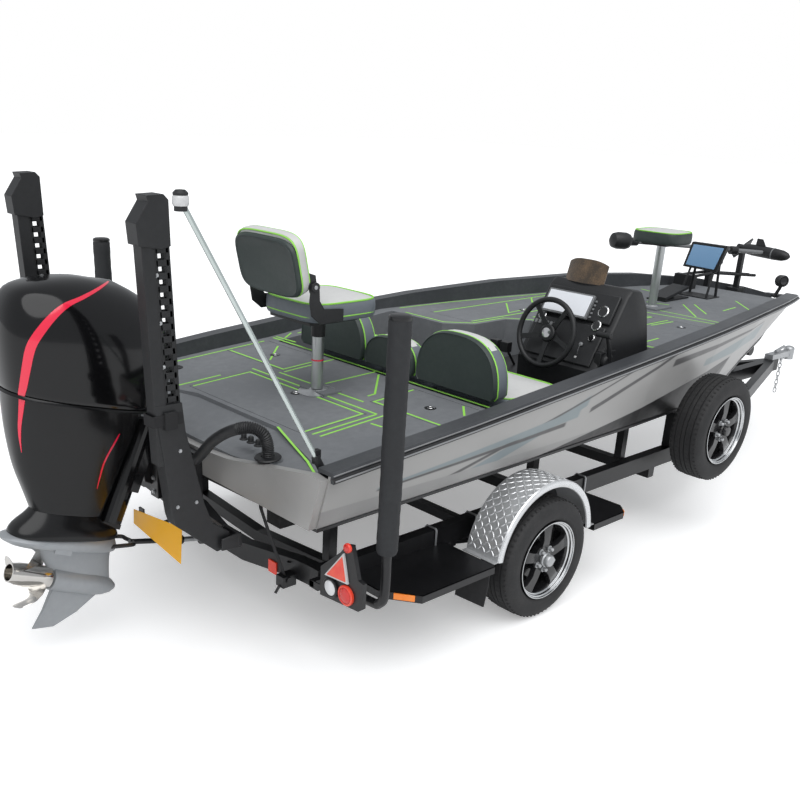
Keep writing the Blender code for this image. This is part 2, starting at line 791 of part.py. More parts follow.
def make_rim(centre, side):
    """A pressed rim with a dished face of five twin spokes; side is +1 where its face looks to port."""
    bore = 0.0205
    radius = RIM_RADIUS
    barrel = turned(ring_profile([
        (radius, 0.100), (radius, 0.090), (RIM_BED_RADIUS, 0.084), (RIM_BED_RADIUS, -0.084),
        (radius, -0.090), (radius, -0.100), (radius * 0.86, -0.100), (radius * 0.855, 0.060),
        (radius * 0.90, 0.088), (radius * 0.93, 0.100),
    ]), (0, 0, 0), (0, 0, 1), WHEEL_STEPS)
    hub = turned(ring_profile([
        (0.045, 0.068), (0.078, 0.050), (0.078, 0.020), (0.045, 0.000), (0.045, -0.080),
        (bore, -0.080), (bore, 0.020), (0.002, 0.020), (0.002, 0.068),
    ]), (0, 0, 0), (0, 0, 1), 24)
    shapes = [barrel, hub, rod((0, 0, 0.022), (0, 0, 0.066), 0.010)]
    for i in range(5):
        turn = Matrix.Rotation(2 * math.pi * i / 5, 4, "Z")
        spoke = plate([(0.060, -0.030), (radius * 0.90, -0.026), (radius * 0.90, 0.026), (0.060, 0.030)],
                      "xy", 0.022, 0.046)
        shapes.append(moved(spoke, turn))
    rim = fused(*shapes)
    facing = Vector((0, side, 0)).to_track_quat("Z", "X").to_matrix().to_4x4()
    return moved(rim, Matrix.Translation(centre) @ facing)


def make_fender():
    """The port fender: an arched chequer plate with a lip on its outer edge."""
    x, z = WHEEL_X, WHEEL_RADIUS + 0.010
    outer, thin = 0.400, 0.003
    start, end = math.radians(8), math.radians(172)
    arc = [start + (end - start) * i / 20 for i in range(21)]
    skin = [(x + outer * math.cos(a), z + outer * math.sin(a)) for a in arc]
    inner = [(x + (outer - thin) * math.cos(a), z + (outer - thin) * math.sin(a)) for a in reversed(arc)]
    lip = [(x + (outer - 0.035) * math.cos(a), z + (outer - 0.035) * math.sin(a)) for a in reversed(arc)]
    top = plate(skin + inner, "xz", 0.905, 1.205)
    edge = plate(skin + lip, "xz", 1.202, 1.206)
    wall = plate(skin + lip, "xz", 0.905, 0.909)
    return fused(top, edge, wall)


def make_steps():
    """Port step plates ahead of and behind the fender, on one bar along the rail, with the mud flap."""
    inner = RAIL_Y + RAIL_WIDTH / 2 + SEAT
    thick = 0.005
    top = 0.405
    aft = box((0.350, inner, top - 0.030), (0.960, 1.215, top))
    aft_hollow = box((0.355, inner + 0.005, top - 0.050), (0.955, 1.210, top - thick))
    fore = box((1.776, inner, top - 0.030), (2.150, 1.215, top))
    fore_hollow = box((1.781, inner + 0.005, top - 0.050), (2.145, 1.210, top - thick))
    bar = box((0.352, inner, top - 0.030), (2.148, inner + 0.005, top + 0.030))
    flap = box((0.930, 0.960, 0.150), (0.938, 1.190, top - 0.002))
    aft = cut(aft, aft_hollow)
    fore = cut(fore, fore_hollow)
    brackets = [
        box((0.940, inner, top - 0.002), (0.975, 1.000, top + 0.003)),
        box((1.765, inner, top - 0.002), (1.780, 1.000, top + 0.003)),
    ]
    return fused(aft, fore, bar, flap, *brackets)


def make_guide():
    """The port guide pole: a steel tube with a padded sleeve."""
    base = RAIL_TOP - RAIL_HEIGHT - GUIDE_TUBE_RADIUS * math.cos(math.pi / 10) - SEAT
    tube_path = [
        (GUIDE_X, RAIL_Y - 0.020, base), (GUIDE_X, GUIDE_Y - 0.080, base), (GUIDE_X, GUIDE_Y - 0.025, base + 0.022),
        (GUIDE_X, GUIDE_Y, base + 0.080), (GUIDE_X, GUIDE_Y, GUIDE_BASE + 0.050),
    ]
    pole = tube(tube_path, GUIDE_TUBE_RADIUS, 3)
    sleeve = rod((GUIDE_X, GUIDE_Y, GUIDE_BASE), (GUIDE_X, GUIDE_Y, GUIDE_TOP), SLEEVE_RADIUS, sides=24)
    return fused(pole, sleeve)


def make_lamp_board():
    """The port tail lamp carrier: a black panel on an arm from the rail's end, with its lamps."""
    x = LAMP_X
    board = plate(
        [(0.970, 0.420), (1.205, 0.420), (1.205, 0.520), (1.150, 0.740), (1.090, 0.740), (0.970, 0.560)],
        "yz", x, x + 0.020,
    )
    lamps = [
        rod((x - 0.015, 1.120, 0.715), (x + 0.005, 1.120, 0.715), 0.024),
        rod((x - 0.012, 1.035, 0.495), (x + 0.005, 1.035, 0.495), 0.040),
        rod((x - 0.012, 1.140, 0.480), (x + 0.005, 1.140, 0.480), 0.040),
    ]
    inner = RAIL_Y + RAIL_WIDTH / 2 + SEAT
    arm = box((x + 0.015, inner + 0.002, 0.430), (x + 0.045, 1.000, 0.460))
    tab = box((x + 0.015, inner, 0.400), (RAIL_AFT + 0.030, inner + 0.006, 0.460))
    return fused(board, arm, tab, *lamps)


def make_jack():
    """The parking jack beside the drawbar, standing on its flat foot."""
    foot = box((JACK_X - 0.070, JACK_Y - 0.070, 0.0), (JACK_X + 0.070, JACK_Y + 0.070, 0.010))
    inner = rod((JACK_X, JACK_Y, 0.006), (JACK_X, JACK_Y, 0.300), 0.022)
    outer = rod((JACK_X, JACK_Y, 0.250), (JACK_X, JACK_Y, 0.740), 0.030)
    cap = rod((JACK_X, JACK_Y, 0.738), (JACK_X, JACK_Y, 0.755), 0.036)
    crank = tube([(JACK_X, JACK_Y, 0.745), (JACK_X, JACK_Y, 0.775), (JACK_X + 0.11, JACK_Y, 0.775),
                  (JACK_X + 0.11, JACK_Y, 0.83)], 0.008, 2)
    angle = math.atan2(RAIL_Y, RAIL_MEET - RAIL_BEND)
    face = (RAIL_MEET - JACK_X) * math.tan(angle) + RAIL_WIDTH / 2 / math.cos(angle) + SEAT
    lean = 0.040 * math.tan(angle)
    clamp = plate([(JACK_X - 0.040, face + lean), (JACK_X + 0.040, face - lean), (JACK_X + 0.040, JACK_Y),
                   (JACK_X - 0.040, JACK_Y)], "xy", 0.400, 0.470)
    return fused(foot, inner, outer, cap, crank, clamp)


# Engine pieces, upright about the tilt pivot


def engine_place():
    return Matrix.Translation(TILT_PIVOT) @ Matrix.Rotation(math.radians(REST_TILT), 4, "Y")


def rounded_section(w, aft, fore, half, power=2.6, count=20):
    """A rounded plan section of the engine at height w."""
    middle, reach = (aft + fore) / 2, (fore - aft) / 2
    points = []
    for i in range(count):
        angle = 2 * math.pi * i / count
        c, s = math.cos(angle), math.sin(angle)
        points.append((
            middle + reach * math.copysign(abs(c) ** (2 / power), c),
            half * math.copysign(abs(s) ** (2 / power), s),
            w,
        ))
    return points


COWL_SECTIONS = [
    # height, aft end, fore end, half width
    (0.050, -0.690, -0.075, 0.190), (0.090, -0.745, -0.065, 0.222), (0.200, -0.770, -0.060, 0.235),
    (0.320, -0.757, -0.070, 0.228), (0.420, -0.705, -0.115, 0.200), (0.475, -0.640, -0.190, 0.155),
    (0.495, -0.570, -0.260, 0.110),
]
LEG_SECTIONS = [
    (0.0495, -0.640, -0.170, 0.150), (-0.100, -0.600, -0.172, 0.110), (-0.300, -0.540, -0.175, 0.085),
    (-0.490, -0.470, -0.178, 0.070),
]
GEARCASE_STRUT = [
    (-0.480, -0.430, -0.178, 0.058), (-0.600, -0.350, -0.100, 0.040), (-0.700, -0.310, -0.060, 0.030),
    (-0.760, -0.290, -0.030, 0.030),
]


def make_cowl():
    cowl = loft([rounded_section(*row) for row in COWL_SECTIONS])
    return moved(cowl, engine_place())


def make_leg():
    """Mid section, gearcase and skeg."""
    mid = loft([rounded_section(w, a, f, h, 3.0) for w, a, f, h in reversed(LEG_SECTIONS)])
    strut = loft([rounded_section(w, a, f, h, 2.0) for w, a, f, h in reversed(GEARCASE_STRUT)])
    case = turned([
        (0.0, 0.085), (0.022, 0.072), (0.045, 0.030), (0.056, -0.040), (0.058, -0.160), (0.052, -0.300),
        (0.0, -0.301),
    ], (0, 0, PROP_W), (1, 0, 0), 24)
    plate_outline = [(-0.500, -0.050), (-0.470, -0.100), (-0.300, -0.125), (-0.060, -0.080), (-0.020, 0.0)]
    vent = plate(plate_outline + [(u, -y) for u, y in reversed(plate_outline[:-1])], "xy",
                 PLATE_W - 0.006, PLATE_W + 0.006)
    skeg = plate([(-0.020, PROP_W), (-0.130, -1.000), (-0.230, -1.008), (-0.285, PROP_W)], "xz", -0.008, 0.008)
    lower_yoke = box((-0.200, -0.050, -0.485), (-0.020, 0.050, -0.462))
    upper_yoke = box((-0.200, -0.060, 0.0355), (-0.015, 0.060, 0.0490))
    shaft = rod((-0.290, 0, PROP_W), (-0.3054, 0, PROP_W), 0.012)
    return moved(fused(mid, strut, case, vent, skeg, lower_yoke, upper_yoke, shaft), engine_place())


def make_engine_bracket():
    """The swivel bracket: the steering tube and the tilt tube."""
    swivel = rod((STEER_U, 0, -0.4615), (STEER_U, 0, 0.0350), 0.055)
    tilt = rod((0, -0.1034, 0), (0, 0.1034, 0), 0.026)
    arms = box((STEER_U, -0.050, -0.300), (0.010, 0.050, 0.020))
    cylinder = rod((0.030, -0.090, -0.060), (0.030, 0.090, -0.060), 0.022)
    return moved(fused(swivel, tilt, arms, cylinder), engine_place())


def make_propeller():
    """A stainless propeller with three blades and an open tail to its hub."""
    tail = -0.1404
    hub = turned([
        (0.0, 0.000), (0.050, 0.000), (0.052, -0.060), (0.042, tail), (0.035, tail), (0.035, tail + 0.045),
        (0.0, tail + 0.045),
    ], (0, 0, 0), (0, 0, 1), 24)
    shapes = [hub]
    for i in range(3):
        sections = []
        for radius, chord, pitch in ((0.030, 0.060, 62), (0.075, 0.100, 48), (0.120, 0.105, 38), (0.150, 0.055, 32)):
            lean = math.radians(pitch)
            row = []
            for along, thick in ((-0.5, 0.0), (0.0, 0.0045), (0.5, 0.0), (0.0, -0.0045)):
                a = along * chord
                row.append((radius, a * math.cos(lean) - thick * math.sin(lean),
                            -0.065 + a * math.sin(lean) + thick * math.cos(lean)))
            sections.append(row)
        blade = loft(sections)
        shapes.append(moved(blade, Matrix.Rotation(2 * math.pi * i / 3 + 0.13, 4, "Z")))
    prop = fused(*shapes)
    forward = Matrix.Rotation(math.radians(90), 4, "Y")
    return moved(prop, engine_place() @ Matrix.Translation((-0.306, 0, PROP_W)) @ forward)


ANCHOR_Y = 0.540
ANCHOR_PIVOT = (-0.200, 0.640)


def make_jack_plate():
    """The lifting plate on the transom, with the clamps for the engine and the anchors' brackets."""
    back = box((-0.080, -0.170, 0.600), (-0.0406, 0.170, 0.900))
    lift = box((-0.150, -0.130, 0.640), (-0.078, 0.130, 0.930))
    shapes = [back, lift]
    x, _, z = TILT_PIVOT
    for side in (-1, 1):
        y = side * 0.118
        shapes.append(plate(
            [(-0.120, 0.660), (-0.120, 0.925), (x + 0.010, z + 0.036), (x - 0.036, z + 0.020), (x - 0.036, z - 0.030),
             (-0.190, 0.700)],
            "xz", y - 0.014, y + 0.014))
        shapes.append(box((-0.080, side * 0.160 if side > 0 else -ANCHOR_Y - 0.060, 0.620),
                          (-0.0406, ANCHOR_Y + 0.060 if side > 0 else -0.160, 0.700)))
        for cheek in (-0.052, 0.052):
            y0 = side * ANCHOR_Y + cheek
            shapes.append(plate(
                [(-0.060, 0.600), (-0.060, 0.720), (ANCHOR_PIVOT[0] - 0.035, 0.680),
                 (ANCHOR_PIVOT[0] - 0.035, 0.610)],
                "xz", y0 - 0.005, y0 + 0.005))
    return fused(*shapes)


def make_anchor():
    """The port shallow-water anchor: a box mast that folds down aft about its foot."""
    x, z = ANCHOR_PIVOT
    lean = (-0.420 + 0.363) / 1.0
    low, high = z - 0.015, 2.070
    base_x = -0.363 + lean * (low - 1.07)
    top_x = -0.420
    sections = []
    for zz, xc, half_x, half_y in ((low, base_x, 0.050, 0.036), (1.35, -0.363 + lean * 0.28, 0.050, 0.036),
                                   (1.36, -0.363 + lean * 0.29, 0.042, 0.030), (high, top_x, 0.038, 0.028)):
        sections.append([(xc - half_x, ANCHOR_Y - half_y, zz), (xc + half_x, ANCHOR_Y - half_y, zz),
                         (xc + half_x, ANCHOR_Y + half_y, zz), (xc - half_x, ANCHOR_Y + half_y, zz)])
    mast = loft(sections)
    arm = box((base_x, ANCHOR_Y - 0.036, z - 0.030), (x + 0.030, ANCHOR_Y + 0.036, z + 0.030))
    pin = rod((x, ANCHOR_Y - 0.0465, z), (x, ANCHOR_Y + 0.0465, z), 0.012)
    return fused(mast, arm, pin)


# Seats and console


def half_moon(y_low, y_high, z_low, z_high, x_low, x_high, count=14):
    """A seat back with a round top, upright."""
    middle, reach = (y_low + y_high) / 2, (y_high - y_low) / 2
    points = [(y_high, z_low), (y_low, z_low)]
    for i in range(count + 1):
        angle = math.pi - math.pi * i / count
        lift = (z_high - z_low - 0.060) * max(math.sin(angle), 0.0) ** 0.8
        points.append((middle + reach * math.cos(angle), z_low + 0.060 + lift))
    return plate(points, "yz", x_low, x_high)


SEAT_TOP = 1.100
BACK_X = (1.186, 1.305)
SEAT_BACKS = [
    # name, low y, high y, top
    ("driver_seat_back", -0.850, -0.310, 1.385),
    ("port_seat_back", 0.110, 0.650, 1.385),
    ("centre_seat_back", -0.290, 0.090, 1.270),
]
BACK_PIVOT = (1.308, 1.112)


def make_seat_bench():
    """The cockpit bench: its base and three cushions."""
    base = box((REAR_DECK_END + 0.006, -0.850, FLOOR_HEIGHT + SEAT), (1.720, 0.650, 1.000))
    shapes = [base]
    for _, low, high, _ in SEAT_BACKS:
        shapes.append(box((BACK_X[0], low, 0.990), (1.760, high, SEAT_TOP)))
    return fused(*shapes)




def make_rear_seat():
    """Post and cushion of the pedestal seat."""
    x, y = REAR_SEAT_X, REAR_SEAT_Y
    base = deck_height(x)
    post = rod((x, y, base + SOCKET_HEIGHT + SEAT), (x, y, 1.400), 0.036)
    hub = box((x - 0.110, y - 0.110, 1.385), (x + 0.110, y + 0.110, 1.415))
    cushion = plate(
        [(x - 0.200, y - 0.230), (x + 0.330, y - 0.240), (x + 0.430, y - 0.140), (x + 0.430, y + 0.140),
         (x + 0.330, y + 0.240), (x - 0.200, y + 0.230)],
        "xy", 1.410, 1.500,
    )
    return fused(post, hub, cushion)


def make_rear_seat_back():
    x, y = REAR_SEAT_X, REAR_SEAT_Y
    back = half_moon(y - 0.250, y + 0.250, 1.512, 1.790, x - 0.290, x - 0.205)
    arms = [box((x - 0.225, y + side - 0.020, 1.440), (x - 0.200 - SEAT, y + side + 0.020, 1.540)) for side in (-0.15, 0.15)]
    return fused(back, *arms)


HELM = (2.008, -0.500, 1.284)
HELM_AXIS = (-0.98, 0.0, 0.20)


def make_console():
    """The helm console on the starboard side."""
    side = [
        (2.040, FLOOR_HEIGHT + SEAT), (2.020, 1.120), (2.255, 1.520), (2.300, 1.560), (2.400, 1.560),
        (2.640, 1.250), (2.695, 1.1562), (2.695, FLOOR_HEIGHT + SEAT),
    ]
    body = plate(side, "xz", -0.830, -0.300)
    axis = Vector(HELM_AXIS).normalized()
    shaft = rod(Vector(HELM) - axis * 0.140, Vector(HELM) - axis * (0.024 + SEAT), 0.030)
    throttle = box((2.060, -0.842, 1.100), (2.180, -0.826, 1.220))
    lever = rod((2.110, -0.845, 1.150), (2.070, -0.845, 1.330), 0.012)
    step = box((2.000, -0.300, FLOOR_HEIGHT + SEAT), (2.560, 0.050, 0.990))
    return fused(body, shaft, throttle, lever, step)


def make_helm_wheel():
    ring = turned(
        ring_profile([(0.200 + 0.014 * math.cos(a), 0.014 * math.sin(a))
                      for a in (-2 * math.pi * i / 8 for i in range(8))]),
        (0, 0, 0), (0, 0, 1), 36,
    )
    hub = rod((0, 0, -0.024), (0, 0, 0.014), 0.038)
    shapes = [ring, hub]
    for angle in (90, 210, 330):
        spoke = box((0.020, -0.014, -0.008), (0.198, 0.014, 0.004))
        shapes.append(moved(spoke, Matrix.Rotation(math.radians(angle), 4, "Z")))
    turn = Vector(HELM_AXIS).to_track_quat("Z", "Y").to_matrix().to_4x4()
    return moved(fused(*shapes), Matrix.Translation(HELM) @ turn)


def make_windscreen():
    """A thin curved screen on the console's top."""
    count = 10
    outer, inner = [], []
    for i in range(count + 1):
        angle = math.radians(-70 + 140 * i / count)
        outer.append((2.300 + 0.090 * math.cos(angle), -0.565 + 0.200 * math.sin(angle)))
        inner.append((2.300 + 0.085 * math.cos(angle), -0.565 + 0.195 * math.sin(angle)))
    points = outer + list(reversed(inner))
    low = [(x, y, 1.5606) for x, y in points]
    high = [(x - 0.050, -0.565 + (y + 0.565) * 0.90, 1.660) for x, y in points]
    return loft([low, high])


def make_bow_seat():
    """The lean seat on its post."""
    x, y = BOW_SEAT
    post = rod((x, y, FRONT_DECK_HEIGHT + SOCKET_HEIGHT + SEAT), (x, y, 1.620), 0.036)
    pan = plate(
        [(x - 0.170, y - 0.180), (x + 0.130, y - 0.200), (x + 0.180, y), (x + 0.130, y + 0.200), (x - 0.170, y + 0.180)],
        "xy", 1.610, 1.690,
    )
    lip = box((x - 0.190, y - 0.180, 1.615), (x - 0.120, y + 0.180, 1.740))
    return fused(post, pan, lip)


def make_bow_display():
    """The bow display on its two-leg stand."""
    x = 4.600
    base = box((x - 0.060, -0.110, FRONT_DECK_HEIGHT + SEAT), (x + 0.060, 0.170, FRONT_DECK_HEIGHT + 0.012))
    legs = [rod((x, y, FRONT_DECK_HEIGHT + 0.006), (x, y * 0.7 + 0.01, 1.360), 0.012) for y in (-0.080, 0.140)]
    screen = box((x - 0.025, -0.120, 1.340), (x + 0.025, 0.180, 1.540))
    return fused(base, screen, *legs)


def make_foot_pedal():
    """The foot pedal that steers the bow motor."""
    x, y = 4.300, 0.120
    z = FRONT_DECK_HEIGHT
    base = box((x - 0.160, y - 0.080, z + SEAT), (x + 0.160, y + 0.080, z + 0.012))
    tread = plate([(x - 0.150, z + 0.010), (x + 0.160, z + 0.070), (x + 0.160, z + 0.090), (x - 0.150, z + 0.030)],
                  "xz", y - 0.070, y + 0.070)
    stem = box((x - 0.030, y - 0.030, z + 0.008), (x + 0.030, y + 0.030, z + 0.050))
    return fused(base, tread, stem)


def deck_between(x):
    """Height of the front deck between its sections."""
    return deck_height(x)


TROLL_HEAD = Vector((4.500, 0.700, 1.500))
TROLL_POD = Vector((5.750, 0.120, 1.405))
TROLL_AIM = Vector((-0.10, -1.0, -0.04)).normalized()
TROLL_HALF = 0.200
TROLL_POSTS = [
    # x, y of the mount's feet on the bow deck
    (5.165, 0.290), (5.430, 0.170),
]


def troll_line(x):
    """A point on the bow motor's shaft."""
    return TROLL_HEAD.lerp(TROLL_POD, (x - TROLL_HEAD.x) / (TROLL_POD.x - TROLL_HEAD.x))


def make_trolling_motor():
    """The bow motor: head, shaft and pod, lying in its mount on the bow."""
    pod = turned([
        (0.0, TROLL_HALF), (0.030, TROLL_HALF - 0.015), (0.046, TROLL_HALF - 0.080),
        (0.046, -TROLL_HALF + 0.060), (0.036, -TROLL_HALF), (0.0, -TROLL_HALF - 0.001),
    ], TROLL_POD, TROLL_AIM, 20)
    shaft = rod(TROLL_HEAD, TROLL_POD, 0.014)
    head = box(TROLL_HEAD - Vector((0.090, 0.050, 0.060)), TROLL_HEAD + Vector((0.070, 0.050, 0.060)))
    shapes = [pod, shaft, head]
    for x, y in TROLL_POSTS:
        deck = deck_between(x) + SEAT
        line = troll_line(x)
        corners = [(x - 0.050, y - 0.045), (x + 0.050, y - 0.045), (x + 0.050, y + 0.045), (x - 0.050, y + 0.045)]
        foot = loft([
            [(a, b, deck_between(a) + SEAT) for a, b in corners],
            [(a, b, deck_between(a) + 0.012) for a, b in corners],
        ])
        base = [(x - 0.025, y - 0.008), (x + 0.025, y - 0.008), (x + 0.025, y + 0.008), (x - 0.025, y + 0.008)]
        lower = [(a, b, deck + 0.008) for a, b in base]
        upper = [(line.x + a - x, line.y + b - y, line.z) for a, b in base]
        shapes += [foot, loft([lower, upper])]
    first, last = troll_line(TROLL_POSTS[0][0] - 0.120), troll_line(TROLL_POSTS[1][0] + 0.150)
    drop = Vector((0, 0, 0.060))
    shapes.append(rod(first - drop, last - drop, 0.014))
    return fused(*shapes)


def make_trolling_prop():
    turn = TROLL_AIM.to_track_quat("Z", "Y").to_matrix().to_4x4()
    hub = rod((0, 0, -0.040), (0, 0, 0.030), 0.030)
    shapes = [hub]
    for i in range(2):
        blade = box((0.020, -0.030, -0.008), (0.130, 0.030, 0.006))
        shapes.append(moved(blade, Matrix.Rotation(math.pi * i + 0.4, 4, "Z") @ Matrix.Rotation(0.5, 4, "X")))
    return moved(fused(*shapes), Matrix.Translation(troll_prop_place()) @ turn)


def troll_prop_place():
    return TROLL_POD - TROLL_AIM * (TROLL_HALF + 0.0315)


def make_stern_light():
    base = Vector((0.030, -0.995, station_at(0.055)[1] + SEAT))
    foot = rod(base, base + Vector((0, 0, 0.020)), 0.025)
    top = Vector((-0.450, -0.710, 2.080))
    pole = rod(base + Vector((0, 0, 0.010)), top, 0.010, sides=12)
    head = rod(top - Vector((0, 0, 0.030)), top + Vector((0, 0, 0.040)), 0.025)
    return fused(foot, pole, head)


HOSE_FLANGE = (0.023, -0.592, 0.986)
HOSE_ROUTE = [
    (0.023, -0.592, 0.9866), (0.023, -0.592, 1.010), (0.021, -0.591, 1.045), (0.000, -0.585, 1.100),
    (-0.045, -0.545, 1.125), (-0.095, -0.470, 1.095), (-0.120, -0.380, 1.030), (-0.128, -0.300, 0.950),
    (-0.125, -0.230, 0.895), (-0.125, -0.180, 0.890), (-0.125, -0.155, 0.890), (-0.125, -0.1326, 0.890),
]
HOSE_RADIUS = 0.026


def assemble():
    """Build every piece and hang it on what carries it."""
    bottom = make_hull_bottom()
    cutter = copied(bottom)
    moved(cutter, Matrix.Translation((0, 0, -SEAT)))
    bunk = cut(bunk_shape(), cutter)
    part("hull_bottom", bottom, "hull_black")
    side = make_hull_side()
    part("hull_side_starboard", mirrored(side), "silver_side")
    part("hull_side_port", side, "silver_side")
    part("transom", make_transom(), "silver_side")
    part("gunwale", make_gunwale(), "gunwale_grey")
    part("rear_deck", make_rear_deck(), "deck_foam")
    part("front_deck", make_front_deck(), "deck_foam")

    for name, low_x, high_x, low_y, high_y, side_name in REAR_HATCHES + FRONT_HATCHES:
        y = {"port": high_y, "starboard": low_y, "aft": (low_y + high_y) / 2}[side_name]
        x = low_x if side_name == "aft" else (low_x + high_x) / 2
        hinge = pivot(name + "_hinge", (x, y, deck_height(x)))
        part(name, make_lid(low_x, high_x, low_y, high_y), "deck_foam", hinge)

    part("bunk_starboard", mirrored(bunk), "bunk_carpet")
    part("bunk_port", bunk, "bunk_carpet")
    rail = make_rail()
    part("rail_starboard", fused(mirrored(rail), *make_spare_bracket()), "black_paint")
    part("rail_port", rail, "black_paint")
    part("drawbar", make_drawbar(), "black_paint")
    part("coupler", make_coupler(), "zinc")
    for index, x in enumerate(CROSS_X):
        part("cross_" + ("rear", "middle", "front")[index], make_cross_with_posts(x), "black_paint")
    part("axle", make_axle(), "black_paint")

    for name, side_sign in (("port", 1), ("starboard", -1)):
        hub = pivot("wheel_" + name, (WHEEL_X, side_sign * WHEEL_LIP_Y, WHEEL_RADIUS))
        centre = Vector((WHEEL_X, side_sign * (WHEEL_LIP_Y - 0.100), WHEEL_RADIUS))
        part("tyre_" + name, make_tyre(centre), "tyre_rubber", hub)
        part("rim_" + name, make_rim(centre, side_sign), "stainless", hub)
    centre = Vector((SPARE_X, -(SPARE_LIP_Y - 0.100), SPARE_Z))
    part("spare_wheel", fused(make_tyre(centre, -0.002), make_rim(centre, -1)), "tyre_rubber")

    for name, maker, finish in (
        ("fender", make_fender, "chequer_aluminium"), ("steps", make_steps, "black_paint"),
        ("guide_pole", make_guide, "moulded_black"), ("lamp_board", make_lamp_board, "moulded_black"),
    ):
        shape = maker()
        part(name + "_starboard", mirrored(shape), finish)
        part(name + "_port", shape, finish)
    part("jack", make_jack(), "zinc")

    part("console", make_console(), "moulded_black")
    helm = pivot("helm", HELM)
    part("helm_wheel", make_helm_wheel(), "moulded_black", helm)
    part("windscreen", make_windscreen(), "bronze_screen")
    part("seat_bench", make_seat_bench(), "seat_vinyl")
    for name, low, high, top in SEAT_BACKS:
        fold = pivot(name + "_fold", (BACK_PIVOT[0], (low + high) / 2, BACK_PIVOT[1]))
        part(name, half_moon(low + 0.005, high - 0.005, SEAT_TOP + SEAT, top, *BACK_X), "seat_vinyl", fold)

    swivel = pivot("rear_seat_swivel", (REAR_SEAT_X, REAR_SEAT_Y, deck_height(REAR_SEAT_X)))
    part("rear_seat", make_rear_seat(), "seat_grey", swivel)
    fold = pivot("rear_seat_fold", (REAR_SEAT_X - 0.205, REAR_SEAT_Y, 1.509), swivel)
    part("rear_seat_back", make_rear_seat_back(), "seat_vinyl", fold)
    swivel = pivot("bow_seat_swivel", (*BOW_SEAT, FRONT_DECK_HEIGHT))
    part("bow_seat", make_bow_seat(), "seat_grey", swivel)
    part("bow_display", make_bow_display(), "moulded_black")
    part("foot_pedal", make_foot_pedal(), "moulded_black")
    part("trolling_motor", make_trolling_motor(), "moulded_black")
    prop = pivot("trolling_prop_shaft", troll_prop_place())
    part("trolling_prop", make_trolling_prop(), "moulded_black", prop)

    part("jack_plate", make_jack_plate(), "black_paint")
    tilt = pivot("engine_tilt", TILT_PIVOT)
    part("engine_bracket", make_engine_bracket(), "black_paint", tilt)
    steer_point = engine_place() @ Vector((STEER_U, 0, 0))
    steer = pivot("engine_steer", steer_point, tilt)
    part("engine_cowl", make_cowl(), "gloss_cowl", steer)
    part("engine_leg", make_leg(), "leg_silver", steer)
    shaft = pivot("propeller_shaft", engine_place() @ Vector((-0.306, 0, PROP_W)), steer)
    part("propeller", make_propeller(), "stainless", shaft)

    anchor = make_anchor()
    for name, shape, side_sign in (("starboard", mirrored(anchor), -1), ("port", anchor, 1)):
        foot = pivot("anchor_" + name + "_foot", (ANCHOR_PIVOT[0], side_sign * ANCHOR_Y, ANCHOR_PIVOT[1]))
        part("anchor_" + name, shape, "black_paint", foot)
    part("stern_light", make_stern_light(), "stainless")
    part("rigging_hose", tube_curve("hose", smooth_points(HOSE_ROUTE, 24), HOSE_RADIUS, 2), "moulded_black")


def make_cross_with_posts(x):
    """A cross member with a post under each bunk."""
    beam = make_cross(x, x == CROSS_X[0])
    base = RAIL_TOP - RAIL_HEIGHT - 0.040
    shapes = [beam]
    for side in (-1, 1):
        y = side * BUNK_Y
        shapes.append(box((x - 0.025, y - 0.025, base - 0.020), (x + 0.025, y + 0.025, 0.640 - SEAT)))
    return fused(*shapes)


assemble()
for leftover in list(CUTTERS.objects):
    bpy.data.objects.remove(leftover, do_unlink=True)
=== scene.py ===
"""Dresses the bass boat and its trailer: paint, deck inlays, upholstery, wheels, engine and fittings."""

import math

import bmesh
import bpy
from mathutils import Matrix, Vector


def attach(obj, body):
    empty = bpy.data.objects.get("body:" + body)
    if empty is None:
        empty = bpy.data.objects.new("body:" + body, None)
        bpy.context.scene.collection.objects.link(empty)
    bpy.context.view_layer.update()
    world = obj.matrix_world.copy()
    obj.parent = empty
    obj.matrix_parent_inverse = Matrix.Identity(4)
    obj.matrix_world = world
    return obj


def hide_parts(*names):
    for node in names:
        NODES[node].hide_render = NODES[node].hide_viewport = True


bl_info = {
    "name": "Bass Boat Dressing",
    "version": (1, 0, 0),
    "blender": (4, 5, 0),
    "location": "View3D > Sidebar > Boat",
    "description": "Paint, deck inlays, upholstery, wheels and fittings of a bass boat on its trailer",
    "category": "Object",
}

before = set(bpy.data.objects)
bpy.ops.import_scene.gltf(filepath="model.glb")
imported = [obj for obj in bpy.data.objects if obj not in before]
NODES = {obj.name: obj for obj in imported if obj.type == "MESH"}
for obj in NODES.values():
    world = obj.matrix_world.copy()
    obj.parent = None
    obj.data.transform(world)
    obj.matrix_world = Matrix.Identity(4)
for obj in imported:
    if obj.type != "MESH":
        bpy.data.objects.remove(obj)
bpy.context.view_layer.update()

# The transom's place: boat numbers count x from it, and the frame's from the middle of the box
TRANSOM_X = -2.7053
HULL = "boat_and_trailer"


def at(x, y, z):
    """A place given from the transom, in the frame."""
    return Vector((x + TRANSOM_X, y, z))


# Finishes: shared effects as shader node groups


def new_group(name, inputs, outputs):
    tree = bpy.data.node_groups.new(name, "ShaderNodeTree")
    for label, kind, value in inputs:
        socket = tree.interface.new_socket(label, in_out="INPUT", socket_type=kind)
        socket.default_value = value
    for label, kind in outputs:
        tree.interface.new_socket(label, in_out="OUTPUT", socket_type=kind)
    start = tree.nodes.new("NodeGroupInput")
    end = tree.nodes.new("NodeGroupOutput")
    return tree, start, end


def math_node(tree, operation, first, second=None, clamp=False):
    node = tree.nodes.new("ShaderNodeMath")
    node.operation = operation
    node.use_clamp = clamp
    for socket, value in zip(node.inputs, (first, second)):
        if value is None:
            continue
        if isinstance(value, (int, float)):
            socket.default_value = value
        else:
            tree.links.new(value, socket)
    return node.outputs[0]


